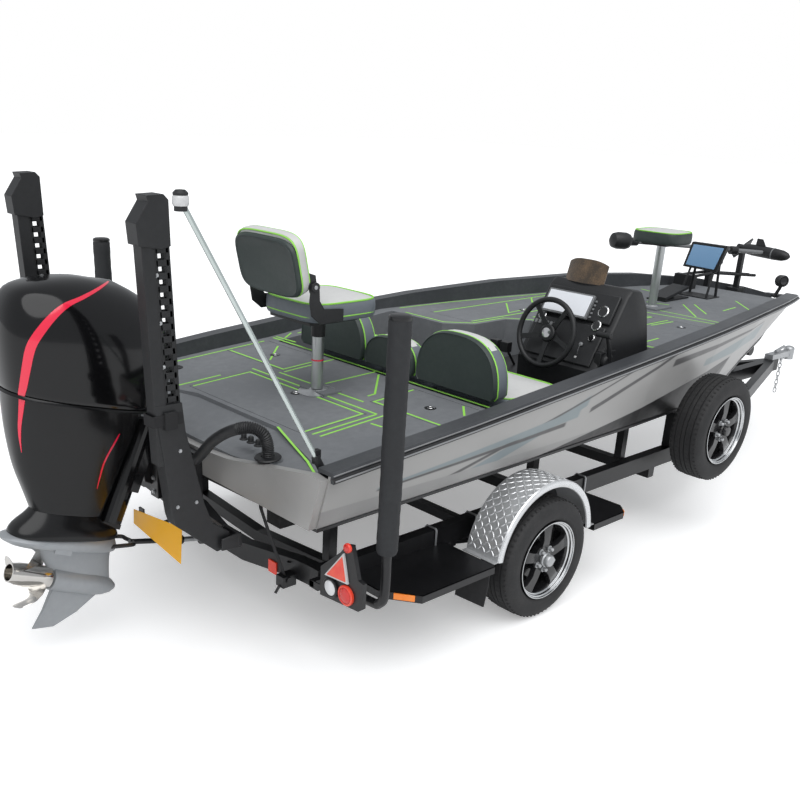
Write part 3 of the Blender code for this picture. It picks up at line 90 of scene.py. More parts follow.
def mix_colours(tree, factor, first, second):
    node = tree.nodes.new("ShaderNodeMix")
    node.data_type = "RGBA"
    for socket, value in ((node.inputs[0], factor), (node.inputs[6], first), (node.inputs[7], second)):
        if isinstance(value, (int, float)):
            socket.default_value = value
        elif isinstance(value, (tuple, list)):
            socket.default_value = (*value[:3], 1.0)
        else:
            tree.links.new(value, socket)
    return node.outputs[2]


def noise(tree, vector, scale, detail=3.0, roughness=0.5):
    node = tree.nodes.new("ShaderNodeTexNoise")
    node.inputs["Detail"].default_value = detail
    node.inputs["Roughness"].default_value = roughness
    if isinstance(scale, (int, float)):
        node.inputs["Scale"].default_value = scale
    else:
        tree.links.new(scale, node.inputs["Scale"])
    tree.links.new(vector, node.inputs["Vector"])
    return node.outputs[0]


def ramp(tree, value, low, high):
    """A value spread so that low gives 0 and high gives 1."""
    node = tree.nodes.new("ShaderNodeMapRange")
    tree.links.new(value, node.inputs[0])
    node.inputs[1].default_value = low
    node.inputs[2].default_value = high
    return node.outputs[0]


def make_weathering_group():
    """Slow change of tone over a surface, with fine dust that gathers in patches."""
    tree, start, end = new_group(
        "Weathering",
        [("Vector", "NodeSocketVector", (0, 0, 0)), ("Colour", "NodeSocketColor", (0.5, 0.5, 0.5, 1)),
         ("Dust", "NodeSocketColor", (0.5, 0.5, 0.5, 1)), ("Amount", "NodeSocketFloat", 0.1),
         ("Scale", "NodeSocketFloat", 3.0)],
        [("Colour", "NodeSocketColor"), ("Mask", "NodeSocketFloat")],
    )
    broad = noise(tree, start.outputs["Vector"], start.outputs["Scale"], 4.0, 0.6)
    fine = noise(tree, start.outputs["Vector"], math_node(tree, "MULTIPLY", start.outputs["Scale"], 14.0), 3.0)
    patch = ramp(tree, math_node(tree, "MULTIPLY", broad, math_node(tree, "ADD", fine, 0.45)), 0.35, 0.75)
    factor = math_node(tree, "MULTIPLY", patch, start.outputs["Amount"], clamp=True)
    colour = mix_colours(tree, factor, start.outputs["Colour"], start.outputs["Dust"])
    tree.links.new(colour, end.inputs["Colour"])
    tree.links.new(factor, end.inputs["Mask"])
    return tree


def make_grain_group():
    """Fine raised grain, stretched along each axis as wanted, as a height."""
    tree, start, end = new_group(
        "Grain",
        [("Vector", "NodeSocketVector", (0, 0, 0)), ("Along X", "NodeSocketFloat", 200.0),
         ("Along Y", "NodeSocketFloat", 200.0), ("Along Z", "NodeSocketFloat", 200.0)],
        [("Height", "NodeSocketFloat")],
    )
    scales = tree.nodes.new("ShaderNodeCombineXYZ")
    for index, label in enumerate(("Along X", "Along Y", "Along Z")):
        tree.links.new(start.outputs[label], scales.inputs[index])
    stretched = tree.nodes.new("ShaderNodeVectorMath")
    stretched.operation = "MULTIPLY"
    tree.links.new(start.outputs["Vector"], stretched.inputs[0])
    tree.links.new(scales.outputs[0], stretched.inputs[1])
    tree.links.new(noise(tree, stretched.outputs[0], 1.0, 2.0), end.inputs["Height"])
    return tree


WEATHERING = make_weathering_group()
GRAIN = make_grain_group()


def add_group(tree, group, **values):
    node = tree.nodes.new("ShaderNodeGroup")
    node.node_tree = group
    for label, value in values.items():
        socket = node.inputs[label.replace("_", " ")]
        if isinstance(value, (int, float)):
            socket.default_value = value
        elif isinstance(value, (tuple, list)):
            socket.default_value = (*value[:3], 1.0)
        else:
            tree.links.new(value, socket)
    return node


def finish(name, colour, roughness=0.5, metallic=0.0, dust=None, amount=0.12, patch=3.0, grain=(300, 300, 300),
           bump=0.15, depth=0.0004, coat=0.0, paint=None, roughness_spread=0.06, **extra):
    """A procedural finish: base colour with weathering, fine grain in the surface and a slight spread of gloss.

    paint takes the tree and the Object coordinates and gives the colour before weathering."""
    material = bpy.data.materials.new(name)
    material.use_nodes = True
    tree = material.node_tree
    shader = tree.nodes["Principled BSDF"]
    place = tree.nodes.new("ShaderNodeTexCoord").outputs["Object"]
    base = paint(tree, place, shader) if paint else colour
    dust = dust or tuple(min(1.0, c * 1.6 + 0.03) for c in colour)
    worn = add_group(tree, WEATHERING, Vector=place, Colour=base, Dust=dust, Amount=amount, Scale=patch)
    tree.links.new(worn.outputs["Colour"], shader.inputs["Base Color"])
    height = add_group(tree, GRAIN, Vector=place, Along_X=grain[0], Along_Y=grain[1], Along_Z=grain[2])
    gloss = math_node(tree, "MULTIPLY_ADD", height.outputs["Height"], roughness_spread)
    gloss.node.inputs[2].default_value = roughness - roughness_spread / 2
    tree.links.new(gloss, shader.inputs["Roughness"])
    raised = tree.nodes.new("ShaderNodeBump")
    raised.inputs["Strength"].default_value = bump
    raised.inputs["Distance"].default_value = depth
    tree.links.new(height.outputs["Height"], raised.inputs["Height"])
    tree.links.new(raised.outputs["Normal"], shader.inputs["Normal"])
    shader.inputs["Metallic"].default_value = metallic
    shader.inputs["Coat Weight"].default_value = coat
    for label, value in extra.items():
        shader.inputs[label.replace("_", " ")].default_value = value
    material.diffuse_color = (*colour, 1.0)
    return material


def split(tree, place):
    node = tree.nodes.new("ShaderNodeSeparateXYZ")
    tree.links.new(place, node.inputs[0])
    return node.outputs


def band(tree, value, low, high, soft=0.0005):
    """1 between two values of a coordinate, 0 outside."""
    up = ramp(tree, value, low - soft, low + soft)
    down = ramp(tree, value, high + soft, high - soft)
    return math_node(tree, "MULTIPLY", up, down)


def line_value(tree, x, y, first, second):
    """How far a point lies above the line through two (x, y) points, along y."""
    slope = (second[1] - first[1]) / (second[0] - first[0])
    height = math_node(tree, "MULTIPLY_ADD", x, slope)
    height.node.inputs[2].default_value = first[1] - slope * first[0]
    return math_node(tree, "SUBTRACT", y, height)


SILVER = (0.385, 0.38, 0.372)
CHARCOAL = (0.08, 0.078, 0.08)
BLUE_GREY = (0.24, 0.285, 0.3)


SWEEPS = [
    # tone, two points (x, z) of the low edge and of the high edge, where it starts and ends
    (BLUE_GREY, [(0.9, 0.8), (2.0, 1.1)], [(0.9, 0.86), (2.0, 1.16)], 0.55, 1.75),
    (CHARCOAL, [(0.7, 0.83), (2.0, 1.13)], [(0.7, 0.85), (2.0, 1.14)], 0.55, 2.35),
    (BLUE_GREY, [(0.3, 0.905), (1.7, 0.975)], [(0.3, 0.915), (1.7, 1.03)], 0.3, 1.7),
    (CHARCOAL, [(0.3, 0.897), (1.7, 0.945)], [(0.3, 0.906), (1.7, 0.972)], 0.3, 1.6),
    (CHARCOAL, [(1.8, 0.98), (2.6, 1.18)], [(1.8, 1.01), (2.6, 1.2)], 1.8, 2.6),
    (CHARCOAL, [(2.6, 1.105), (4.2, 1.15)], [(2.6, 1.15), (4.2, 1.156)], 2.6, 4.15),
    (BLUE_GREY, [(3.0, 1.02), (4.2, 1.02)], [(3.0, 1.06), (4.2, 1.14)], 3.1, 4.18),
]


def side_paint(tree, place, _shader):
    """Silver topsides with charcoal and blue-grey sweeps, and a darker panel under the knuckle."""
    x, _, z = split(tree, place)
    t = TRANSOM_X

    def sweep(colour, tone, points_low, points_high, start, end, soft=0.004):
        low = line_value(tree, x, z, *[(a + t, b) for a, b in points_low])
        high = line_value(tree, x, z, *[(a + t, b) for a, b in points_high])
        inside = math_node(tree, "MULTIPLY", ramp(tree, low, -soft, soft), ramp(tree, high, soft, -soft))
        inside = math_node(tree, "MULTIPLY", inside, band(tree, x, start + t, end + t, 0.01))
        return mix_colours(tree, inside, colour, tone)

    colour = SILVER
    for entry in SWEEPS:
        colour = sweep(colour, *entry)
    bottom = math_node(tree, "MULTIPLY", ramp(tree, line_value(tree, x, z, (1.3 + t, 0.788), (2.65 + t, 0.912)),
            0.003, -0.003), band(tree, x, 1.2 + t, 3.6 + t, 0.02))
    knuckle = line_value(tree, x, z, (0.1 + t, 0.872), (2.6 + t, 0.84))
    lower = ramp(tree, knuckle, 0.003, -0.003)
    shade = mix_colours(tree, ramp(tree, noise(tree, place, 2.5), 0.3, 0.7), (0.29, 0.288, 0.285),
                        (0.36, 0.355, 0.35))
    return mix_colours(tree, bottom, mix_colours(tree, lower, colour, shade), (0.012, 0.012, 0.013))


def transom_paint(tree, place, _shader):
    """Aluminium with slow cloudy shading."""
    tone = ramp(tree, noise(tree, place, 1.8), 0.3, 0.7)
    return mix_colours(tree, tone, (0.335, 0.33, 0.322), (0.415, 0.408, 0.398))


FINISH = {}


def make_finishes():
    """Fill the table of finishes that the pieces are painted from."""

    def add(name, *look, **more):
        FINISH[name] = finish(name, *look, **more)

    add("hull_black", (0.012, 0.012, 0.013), 0.38, dust=(0.06, 0.06, 0.06), amount=0.2)
    add("silver_side", SILVER, 0.34, 0.35, amount=0.1, patch=1.2, grain=(12, 700, 700), bump=0.05,
        paint=side_paint, dust=(0.5, 0.5, 0.49))
    add("silver_transom", SILVER, 0.36, 0.35, amount=0.1, patch=1.5, paint=transom_paint, grain=(500, 20, 500),
        bump=0.05)
    add("gunwale_grey", (0.038, 0.041, 0.046), 0.42, dust=(0.1, 0.105, 0.11), amount=0.3, grain=(15, 900, 900),
        bump=0.2)
    add("deck_foam", (0.15, 0.158, 0.168), 0.88, dust=(0.235, 0.245, 0.255), amount=0.55, patch=1.6,
        grain=(900, 30, 900), bump=0.45, depth=0.0008)
    add("lime_inlay", (0.3, 0.72, 0.08), 0.62, dust=(0.42, 0.8, 0.22), amount=0.3)
    add("black_steel", (0.006, 0.006, 0.007), 0.36, dust=(0.028, 0.029, 0.031), amount=0.28, patch=4.0,
        grain=(420, 420, 420), bump=0.12)
    add("moulded_black", (0.009, 0.0095, 0.0105), 0.48, dust=(0.032, 0.033, 0.036), amount=0.26,
        grain=(900, 900, 900), bump=0.3)
    add("gloss_black", (0.004, 0.004, 0.0045), 0.13, dust=(0.008, 0.008, 0.009), amount=0.2, coat=0.15,
        bump=0.02, Specular_IOR_Level=0.35)
    add("satin_cover", (0.005, 0.005, 0.0055), 0.24, dust=(0.012, 0.012, 0.013), amount=0.3, coat=0.1,
        bump=0.03, Specular_IOR_Level=0.35)
    add("hose_rubber", (0.01, 0.0105, 0.0115), 0.48, dust=(0.05, 0.05, 0.052), amount=0.3)
    add("chrome", (0.72, 0.72, 0.72), 0.1, 1.0, amount=0.1, bump=0.02)
    add("light_pole", (0.56, 0.62, 0.6), 0.22, 0.75, grain=(900, 900, 20), amount=0.15, bump=0.03)
    add("rim_black", (0.009, 0.009, 0.01), 0.22, dust=(0.04, 0.04, 0.042), amount=0.25, coat=0.3)
    add("rim_lip", (0.6, 0.61, 0.62), 0.16, 1.0, amount=0.15, bump=0.02)
    add("bright_edge", (0.74, 0.75, 0.76), 0.28, 0.6, dust=(0.5, 0.51, 0.52), amount=0.3, patch=9.0, bump=0.1)
    add("flap_rubber", (0.014, 0.014, 0.015), 0.75, dust=(0.06, 0.06, 0.06), amount=0.3)
    add("lamp_clear", (0.7, 0.71, 0.72), 0.16, dust=(0.5, 0.51, 0.52), amount=0.5, patch=50.0, coat=0.5)
    add("dial_face", (0.006, 0.006, 0.007), 0.15, dust=(0.02, 0.02, 0.02), amount=0.2, coat=0.5)
    add("rail_rubber", (0.01, 0.01, 0.011), 0.55, dust=(0.05, 0.05, 0.052), amount=0.3)
    add("rail_strip", (0.22, 0.225, 0.23), 0.4, dust=(0.32, 0.32, 0.33), amount=0.3)
    add("leg_silver", (0.3, 0.315, 0.33), 0.36, 0.25, amount=0.15, bump=0.05)
    add("polished_steel", (0.62, 0.6, 0.57), 0.14, 1.0, amount=0.1, bump=0.02)
    add("brushed_post", (0.52, 0.54, 0.54), 0.32, 0.9, grain=(900, 900, 20), amount=0.15)
    add("zinc", (0.5, 0.51, 0.52), 0.42, 0.85, dust=(0.3, 0.31, 0.32), amount=0.45, patch=9.0,
        grain=(200, 200, 200), bump=0.2)
    add("chequer_aluminium", (0.62, 0.63, 0.64), 0.34, 0.55, dust=(0.44, 0.45, 0.46), amount=0.45, patch=6.0,
        grain=(700, 700, 700), bump=0.25)
    add("tyre_rubber", (0.015, 0.015, 0.016), 0.72, dust=(0.06, 0.058, 0.056), amount=0.3, patch=7.0,
        grain=(500, 500, 500), bump=0.3)
    add("sleeve_cloth", (0.014, 0.015, 0.017), 0.7, dust=(0.04, 0.042, 0.045), amount=0.3,
        grain=(500, 500, 160), bump=0.6, depth=0.001)
    add("vinyl_dark", (0.03, 0.042, 0.04), 0.5, dust=(0.06, 0.075, 0.07), amount=0.35, grain=(600, 600, 600),
        bump=0.35)
    add("vinyl_grey", (0.135, 0.155, 0.178), 0.52, dust=(0.2, 0.22, 0.24), amount=0.35, grain=(600, 600, 600),
        bump=0.35)
    add("vinyl_white", (0.62, 0.62, 0.61), 0.5, dust=(0.5, 0.5, 0.49), amount=0.35, grain=(600, 600, 600),
        bump=0.3)
    add("bunk_carpet", (0.01, 0.01, 0.01), 0.95, dust=(0.04, 0.04, 0.04), amount=0.4, grain=(800, 800, 800),
        bump=0.8, depth=0.002)
    add("bronze_screen", (0.05, 0.034, 0.02), 0.12, dust=(0.26, 0.16, 0.08), amount=0.55, patch=12.0, coat=0.5)
    add("lamp_red", (0.6, 0.015, 0.012), 0.22, dust=(0.75, 0.06, 0.03), amount=0.3, coat=0.5)
    add("reflector_red", (0.8, 0.04, 0.02), 0.3, dust=(0.9, 0.16, 0.06), amount=0.5, patch=20.0, coat=0.5)
    add("reflector_amber", (0.9, 0.22, 0.01), 0.3, dust=(0.95, 0.33, 0.05), amount=0.5, patch=30.0, coat=0.5)
    add("lamp_white", (0.62, 0.62, 0.62), 0.25, dust=(0.45, 0.45, 0.46), amount=0.5, patch=60.0, coat=0.4)
    add("plate_yellow", (0.86, 0.42, 0.012), 0.45, dust=(0.8, 0.46, 0.06), amount=0.3)
    add("stripe_red", (0.8, 0.01, 0.05), 0.18, dust=(0.85, 0.03, 0.08), amount=0.2, coat=0.8, bump=0.02)
    add("screen_white", (0.8, 0.82, 0.86), 0.2, dust=(0.72, 0.76, 0.82), amount=0.2)
    add("screen_blue", (0.235, 0.43, 0.69), 0.18, dust=(0.27, 0.47, 0.72), amount=0.2)
    add("bezel_grey", (0.17, 0.175, 0.18), 0.35, amount=0.2)
    add("strap_webbing", (0.01, 0.01, 0.011), 0.85, grain=(900, 900, 900), bump=0.6)


NODE_FINISH = {
    "hull_bottom": "hull_black", "hull_side_port": "silver_side", "hull_side_starboard": "silver_side",
    "transom": "silver_transom", "gunwale": "gunwale_grey", "rear_deck": "deck_foam", "front_deck": "deck_foam",
    "bunk_port": "bunk_carpet", "bunk_starboard": "bunk_carpet", "engine_cowl": "gloss_black",
    "engine_leg": "leg_silver", "engine_bracket": "gloss_black", "propeller": "polished_steel",
    "rim_port": "black_steel", "rim_starboard": "black_steel", "tyre_port": "tyre_rubber",
    "tyre_starboard": "tyre_rubber", "spare_wheel": "tyre_rubber", "fender_port": "chequer_aluminium",
    "fender_starboard": "chequer_aluminium", "coupler": "zinc", "jack": "zinc", "stern_light": "brushed_post",
    "rigging_hose": "moulded_black", "windscreen": "bronze_screen", "seat_bench": "vinyl_grey",
    "driver_seat_back": "vinyl_dark", "port_seat_back": "vinyl_dark", "centre_seat_back": "moulded_black",
    "rear_seat": "vinyl_grey", "rear_seat_back": "vinyl_dark", "bow_seat": "vinyl_grey",
    "guide_pole_port": "sleeve_cloth", "guide_pole_starboard": "sleeve_cloth", "anchor_port": "black_steel",
    "anchor_starboard": "black_steel",
}
PLASTIC_NODES = ("console", "helm_wheel", "bow_display", "foot_pedal", "trolling_motor", "trolling_prop",
                 "lamp_board_port", "lamp_board_starboard")


# Making pieces: shapes are drawn in boat numbers, and piece() moves them to the frame


def joined_rows(made, rows, slot=0, caps=True):
    """Skin rows of vertices, one after the other, and close the two ends."""
    count = len(rows[0])
    faces = []
    for first, second in zip(rows, rows[1:]):
        for i in range(count):
            j = (i + 1) % count
            faces.append(made.faces.new((first[i], first[j], second[j], second[i])))
    if caps:
        faces += [made.faces.new(rows[0]), made.faces.new(list(reversed(rows[-1])))]
    for face in faces:
        face.material_index = slot


def loft(made, sections, slot=0, caps=True):
    """A skin over sections of the same number of points."""
    joined_rows(made, [[made.verts.new(point) for point in section] for section in sections], slot, caps)


def plate(made, outline, plane, low, high, slot=0):
    """An outline drawn in the plane xy, xz or yz, given a thickness across it."""
    order = {"xy": lambda a, b, c: (a, b, c), "xz": lambda a, b, c: (a, c, b), "yz": lambda a, b,
             c: (c, a, b)}[plane]
    loft(made, [[order(a, b, low) for a, b in outline], [order(a, b, high) for a, b in outline]], slot)


def oblong(a0, b0, a1, b1):
    return [(a0, b0), (a1, b0), (a1, b1), (a0, b1)]


def block(made, low, high, slot=0):
    plate(made, oblong(*low[:2], *high[:2]), "xy", low[2], high[2], slot)


def turned(made, profile, centre, direction, steps=24, slot=0, hollow=False):
    """A (radius, along) profile turned about an axis; a hollow one closes on itself as a ring."""
    turn = Matrix.Translation(centre) @ Vector(direction).to_track_quat("Z", "Y").to_matrix().to_4x4()
    rows = []
    for radius, along in profile:
        angles = [2 * math.pi * i / steps for i in range(steps)]
        rows.append([made.verts.new(turn @ Vector((radius * math.cos(a), radius * math.sin(a), along)))
                     for a in angles])
    if hollow:
        rows.append(rows[0])
    joined_rows(made, rows, slot, caps=not hollow)


def rod(made, start, end, radius, steps=14, slot=0):
    start, end = Vector(start), Vector(end)
    length = (end - start).length
    turned(made, [(radius, 0.0), (radius, length)], start, end - start, steps, slot)


def ring(made, radius, thickness, centre, direction, steps=40, sides=10, slot=0):
    """A round bar bent into a ring."""
    angles = [2 * math.pi * i / sides for i in range(sides)]
    turned(made, [(radius + thickness * math.cos(a), thickness * math.sin(a)) for a in angles], centre,
           direction, steps, slot, hollow=True)


def eased(t, start, end, start_slope, end_slope):
    """A value on the smooth curve between two, given its slope at both."""
    return ((2 * t**3 - 3 * t**2 + 1) * start + (t**3 - 2 * t**2 + t) * start_slope + (3 * t**2 - 2 * t**3)
            * end + (t**3 - t**2) * end_slope)


def curve_through(points, per_span=6):
    """A smooth line through the points."""
    pts = [Vector(p) for p in points]
    out = []
    for i in range(len(pts) - 1):
        before, after = pts[max(i - 1, 0)], pts[min(i + 2, len(pts) - 1)]
        slopes = (pts[i + 1] - before) / 2, (after - pts[i]) / 2
        out += [eased(k / per_span, pts[i], pts[i + 1], *slopes) for k in range(per_span)]
    return out + [pts[-1]]


def tube(made, points, radius, sides=10, slot=0, closed=False):
    """A round bar along points; radius may be one number or one for each point."""
    pts = [Vector(p) for p in points]
    count = len(pts)
    radii = radius if isinstance(radius, (list, tuple)) else [radius] * count
    up = None
    rows = []
    for i, point in enumerate(pts):
        if closed:
            along = (pts[(i + 1) % count] - pts[i - 1]).normalized()
        else:
            along = (pts[min(i + 1, count - 1)] - pts[max(i - 1, 0)]).normalized()
        if up is None:
            up = along.orthogonal().normalized()
        up = (up - along * up.dot(along)).normalized()
        out = along.cross(up)
        rows.append([made.verts.new(point + radii[i] * (math.cos(a) * up + math.sin(a) * out))
                     for a in (2 * math.pi * k / sides for k in range(sides))])
    if closed:
        rows.append(rows[0])
    joined_rows(made, rows, slot, caps=not closed)


def on_side(made, side):
    """Shapes drawn to port, turned over to starboard where side is -1."""
    if side < 0:
        bmesh.ops.scale(made, verts=made.verts, vec=(1, -1, 1))
    return made


def moved(made, matrix):
    made.transform(matrix)
    return made


def set_in(made, part, matrix):
    """Add a part to a larger shape, placed by the matrix."""
    part.transform(matrix)
    scratch = bpy.data.meshes.new("part")
    part.to_mesh(scratch)
    part.free()
    made.from_mesh(scratch)
    bpy.data.meshes.remove(scratch)


def squared(value, power):
    """A sine or cosine drawn out, which makes a circle a rounded square."""
    return math.copysign(abs(value) ** (2 / power), value)


def piece(name, made, material, body=HULL, smooth=30, bevel=0.0):
    """A finished bmesh as an object of the boat that rides on a body; its place is in its mesh."""
    bmesh.ops.translate(made, verts=made.verts, vec=(TRANSOM_X, 0, 0))
    bmesh.ops.remove_doubles(made, verts=made.verts, dist=1e-6)
    bmesh.ops.recalc_face_normals(made, faces=made.faces)
    mesh = bpy.data.meshes.new(name)
    made.to_mesh(mesh)
    made.free()
    for entry in material if isinstance(material, (list, tuple)) else [material]:
        mesh.materials.append(FINISH[entry])
    return set_up(name, mesh, body, smooth, bevel)


def set_up(name, mesh, body, smooth=30, bevel=0.0):
    if smooth:
        mesh.shade_smooth()
        mesh.set_sharp_from_angle(angle=math.radians(smooth))
    obj = bpy.data.objects.new(name, mesh)
    bpy.context.scene.collection.objects.link(obj)
    if bevel:
        edge = obj.modifiers.new("edge", "BEVEL")
        edge.width = bevel
        edge.segments = 2
        edge.limit_method = "ANGLE"
        edge.angle_limit = math.radians(40)
    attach(obj, body)
    return obj


def plain_object(name, made):
    mesh = bpy.data.meshes.new(name)
    made.to_mesh(mesh)
    made.free()
    obj = bpy.data.objects.new(name, mesh)
    bpy.context.scene.collection.objects.link(obj)
    return obj


def node_tree(name, inputs):
    tree = bpy.data.node_groups.new(name, "GeometryNodeTree")
    tree.interface.new_socket("Geometry", in_out="INPUT", socket_type="NodeSocketGeometry")
    for label, kind, value in inputs:
        socket = tree.interface.new_socket(label, in_out="INPUT", socket_type=kind)
        if value is not None:
            socket.default_value = value
    tree.interface.new_socket("Geometry", in_out="OUTPUT", socket_type="NodeSocketGeometry")
    return tree, tree.nodes.new("NodeGroupInput"), tree.nodes.new("NodeGroupOutput")


def make_copies_tree():
    """One small shape set on every point, turned by the point's own angles."""
    tree, start, end = node_tree("Copies on points", [
        ("Copy", "NodeSocketObject", None), ("Size", "NodeSocketFloat", 1.0),
        ("Material", "NodeSocketMaterial", None)])
    shape = tree.nodes.new("GeometryNodeObjectInfo")
    angles = tree.nodes.new("GeometryNodeInputNamedAttribute")
    angles.data_type = "FLOAT_VECTOR"
    angles.inputs["Name"].default_value = "angles"
    copies = tree.nodes.new("GeometryNodeInstanceOnPoints")
    real = tree.nodes.new("GeometryNodeRealizeInstances")
    finish_node = tree.nodes.new("GeometryNodeSetMaterial")
    link = tree.links.new
    link(start.outputs["Copy"], shape.inputs["Object"])
    link(start.outputs["Geometry"], copies.inputs["Points"])
    link(shape.outputs["Geometry"], copies.inputs["Instance"])
    link(angles.outputs["Attribute"], copies.inputs["Rotation"])
    link(start.outputs["Size"], copies.inputs["Scale"])
    link(copies.outputs["Instances"], real.inputs["Geometry"])
    link(real.outputs["Geometry"], finish_node.inputs["Geometry"])
    link(start.outputs["Material"], finish_node.inputs["Material"])
    link(finish_node.outputs["Geometry"], end.inputs["Geometry"])
    return tree


def make_hose_tree():
    """A hose along a line, its wall in even ribs up to a share of its length and plain beyond."""
    tree, start, end = node_tree("Ribbed hose", [
        ("Radius", "NodeSocketFloat", 0.026), ("Pitch", "NodeSocketFloat", 0.009),
        ("Depth", "NodeSocketFloat", 0.0025),
        ("Ribbed share", "NodeSocketFloat", 0.4), ("Material", "NodeSocketMaterial", None)])
    link = tree.links.new

    def sum_of(operation, first, second):
        return math_node(tree, operation, first, second)

    line = tree.nodes.new("GeometryNodeMeshToCurve")
    even = tree.nodes.new("GeometryNodeResampleCurve")
    even.mode = "LENGTH"
    place = tree.nodes.new("GeometryNodeSplineParameter")
    wave = sum_of("SINE", sum_of("MULTIPLY", sum_of("DIVIDE", place.outputs["Length"], start.outputs["Pitch"]),
            2 * math.pi), None)
    ribbed = sum_of("LESS_THAN", place.outputs["Factor"], start.outputs["Ribbed share"])
    swell = sum_of("MULTIPLY", sum_of("MULTIPLY", wave, start.outputs["Depth"]), ribbed)
    radius = tree.nodes.new("GeometryNodeSetCurveRadius")
    circle = tree.nodes.new("GeometryNodeCurvePrimitiveCircle")
    circle.inputs["Resolution"].default_value = 20
    circle.inputs["Radius"].default_value = 1.0
    wall = tree.nodes.new("GeometryNodeCurveToMesh")
    wall.inputs["Fill Caps"].default_value = True
    real = tree.nodes.new("GeometryNodeRealizeInstances")
    finish_node = tree.nodes.new("GeometryNodeSetMaterial")
    link(start.outputs["Geometry"], line.inputs[0])
    link(line.outputs[0], even.inputs["Curve"])
    link(sum_of("MULTIPLY", start.outputs["Pitch"], 0.25), even.inputs["Length"])
    link(even.outputs[0], radius.inputs["Curve"])
    total = sum_of("ADD", start.outputs["Radius"], swell)
    link(total, radius.inputs["Radius"])
    link(radius.outputs[0], wall.inputs["Curve"])
    if "Scale" in wall.inputs:
        link(total, wall.inputs["Scale"])
    link(circle.outputs["Curve"], wall.inputs["Profile Curve"])
    link(wall.outputs[0], real.inputs[0])
    link(real.outputs[0], finish_node.inputs["Geometry"])
    link(start.outputs["Material"], finish_node.inputs["Material"])
    link(finish_node.outputs["Geometry"], end.inputs["Geometry"])
    return tree


COPIES = make_copies_tree()
HOSE = make_hose_tree()


def grown(name, source, tree, values, body, smooth=35):
    """Run a node tree on an object and keep the result as a plain piece."""
    grow = source.modifiers.new("grow", "NODES")
    grow.node_group = tree
    for item in tree.interface.items_tree:
        if item.item_type == "SOCKET" and item.in_out == "INPUT" and item.name in values:
            grow[item.identifier] = values[item.name]
    source.update_tag()
    bpy.context.view_layer.update()
    ready = source.evaluated_get(bpy.context.evaluated_depsgraph_get())
    mesh = bpy.data.meshes.new_from_object(ready)
    mesh.name = name
    bpy.data.objects.remove(source)
    return set_up(name, mesh, body, smooth, 0.0)


def copies(name, unit, places, material, body=HULL, size=1.0, smooth=35, slot=None):
    """The unit shape at each place: a matrix, or a point in boat numbers, a direction for its Z and a turn."""
    made = bmesh.new()
    angles = []
    for place in places:
        if isinstance(place, Matrix):
            point, turn = place.translation, place.to_quaternion()
        else:
            point, direction, spin = place
            turn = Vector(direction).to_track_quat("Z", "Y") @ Matrix.Rotation(spin, 3, "Z").to_quaternion()
        made.verts.new(Vector(point) + Vector((TRANSOM_X, 0, 0)))
        angles += list(turn.to_euler())
    points = plain_object(name + "_places", made)
    field = points.data.attributes.new("angles", "FLOAT_VECTOR", "POINT")
    field.data.foreach_set("vector", angles)
    bmesh.ops.recalc_face_normals(unit, faces=unit.faces)
    shape = plain_object(name + "_unit", unit)
    obj = grown(name, points, COPIES, {"Copy": shape, "Size": size, "Material": FINISH[material]}, body, smooth)
    bpy.data.objects.remove(shape)
    return obj


def bolt_head(radius=0.008, height=0.005):
    unit = bmesh.new()
    turned(unit, [(radius * 1.35, 0.0), (radius * 1.35, 0.001), (radius, 0.001), (radius, height * 0.8),
                  (radius * 0.8, height)], (0, 0, 0), (0, 0, 1), 6)
    return unit


# The deck's top along the boat: it rises to the bench, climbs to the level bow deck and falls at the bow
STERN_DECK_END, BOW_DECK_START, BOW_FALL_START, BOW_FALL_RUN = 1.17, 2.1, 5.1, 0.75
STERN_DECK_FOOT, STERN_DECK_SLOPE, STERN_DECK_TOP = 0.995, 0.062, 1.06754
BOW_DECK_TOP, BOW_FALL = 1.155, 0.13


def deck_level(x):
    if x <= STERN_DECK_END:
        return STERN_DECK_FOOT + STERN_DECK_SLOPE * x
    if x < BOW_DECK_START:
        return STERN_DECK_TOP + (BOW_DECK_TOP - STERN_DECK_TOP) * (x - STERN_DECK_END) / (BOW_DECK_START
                - STERN_DECK_END)
    if x <= BOW_FALL_START:
        return BOW_DECK_TOP
    return BOW_DECK_TOP - BOW_FALL * (x - BOW_FALL_START) / BOW_FALL_RUN


# How far the inlays stand out of the deck and reach into it
INLAY_LIFT, INLAY_FOOT = 0.0008, -0.0004
INLAY_WIDTH = 0.011

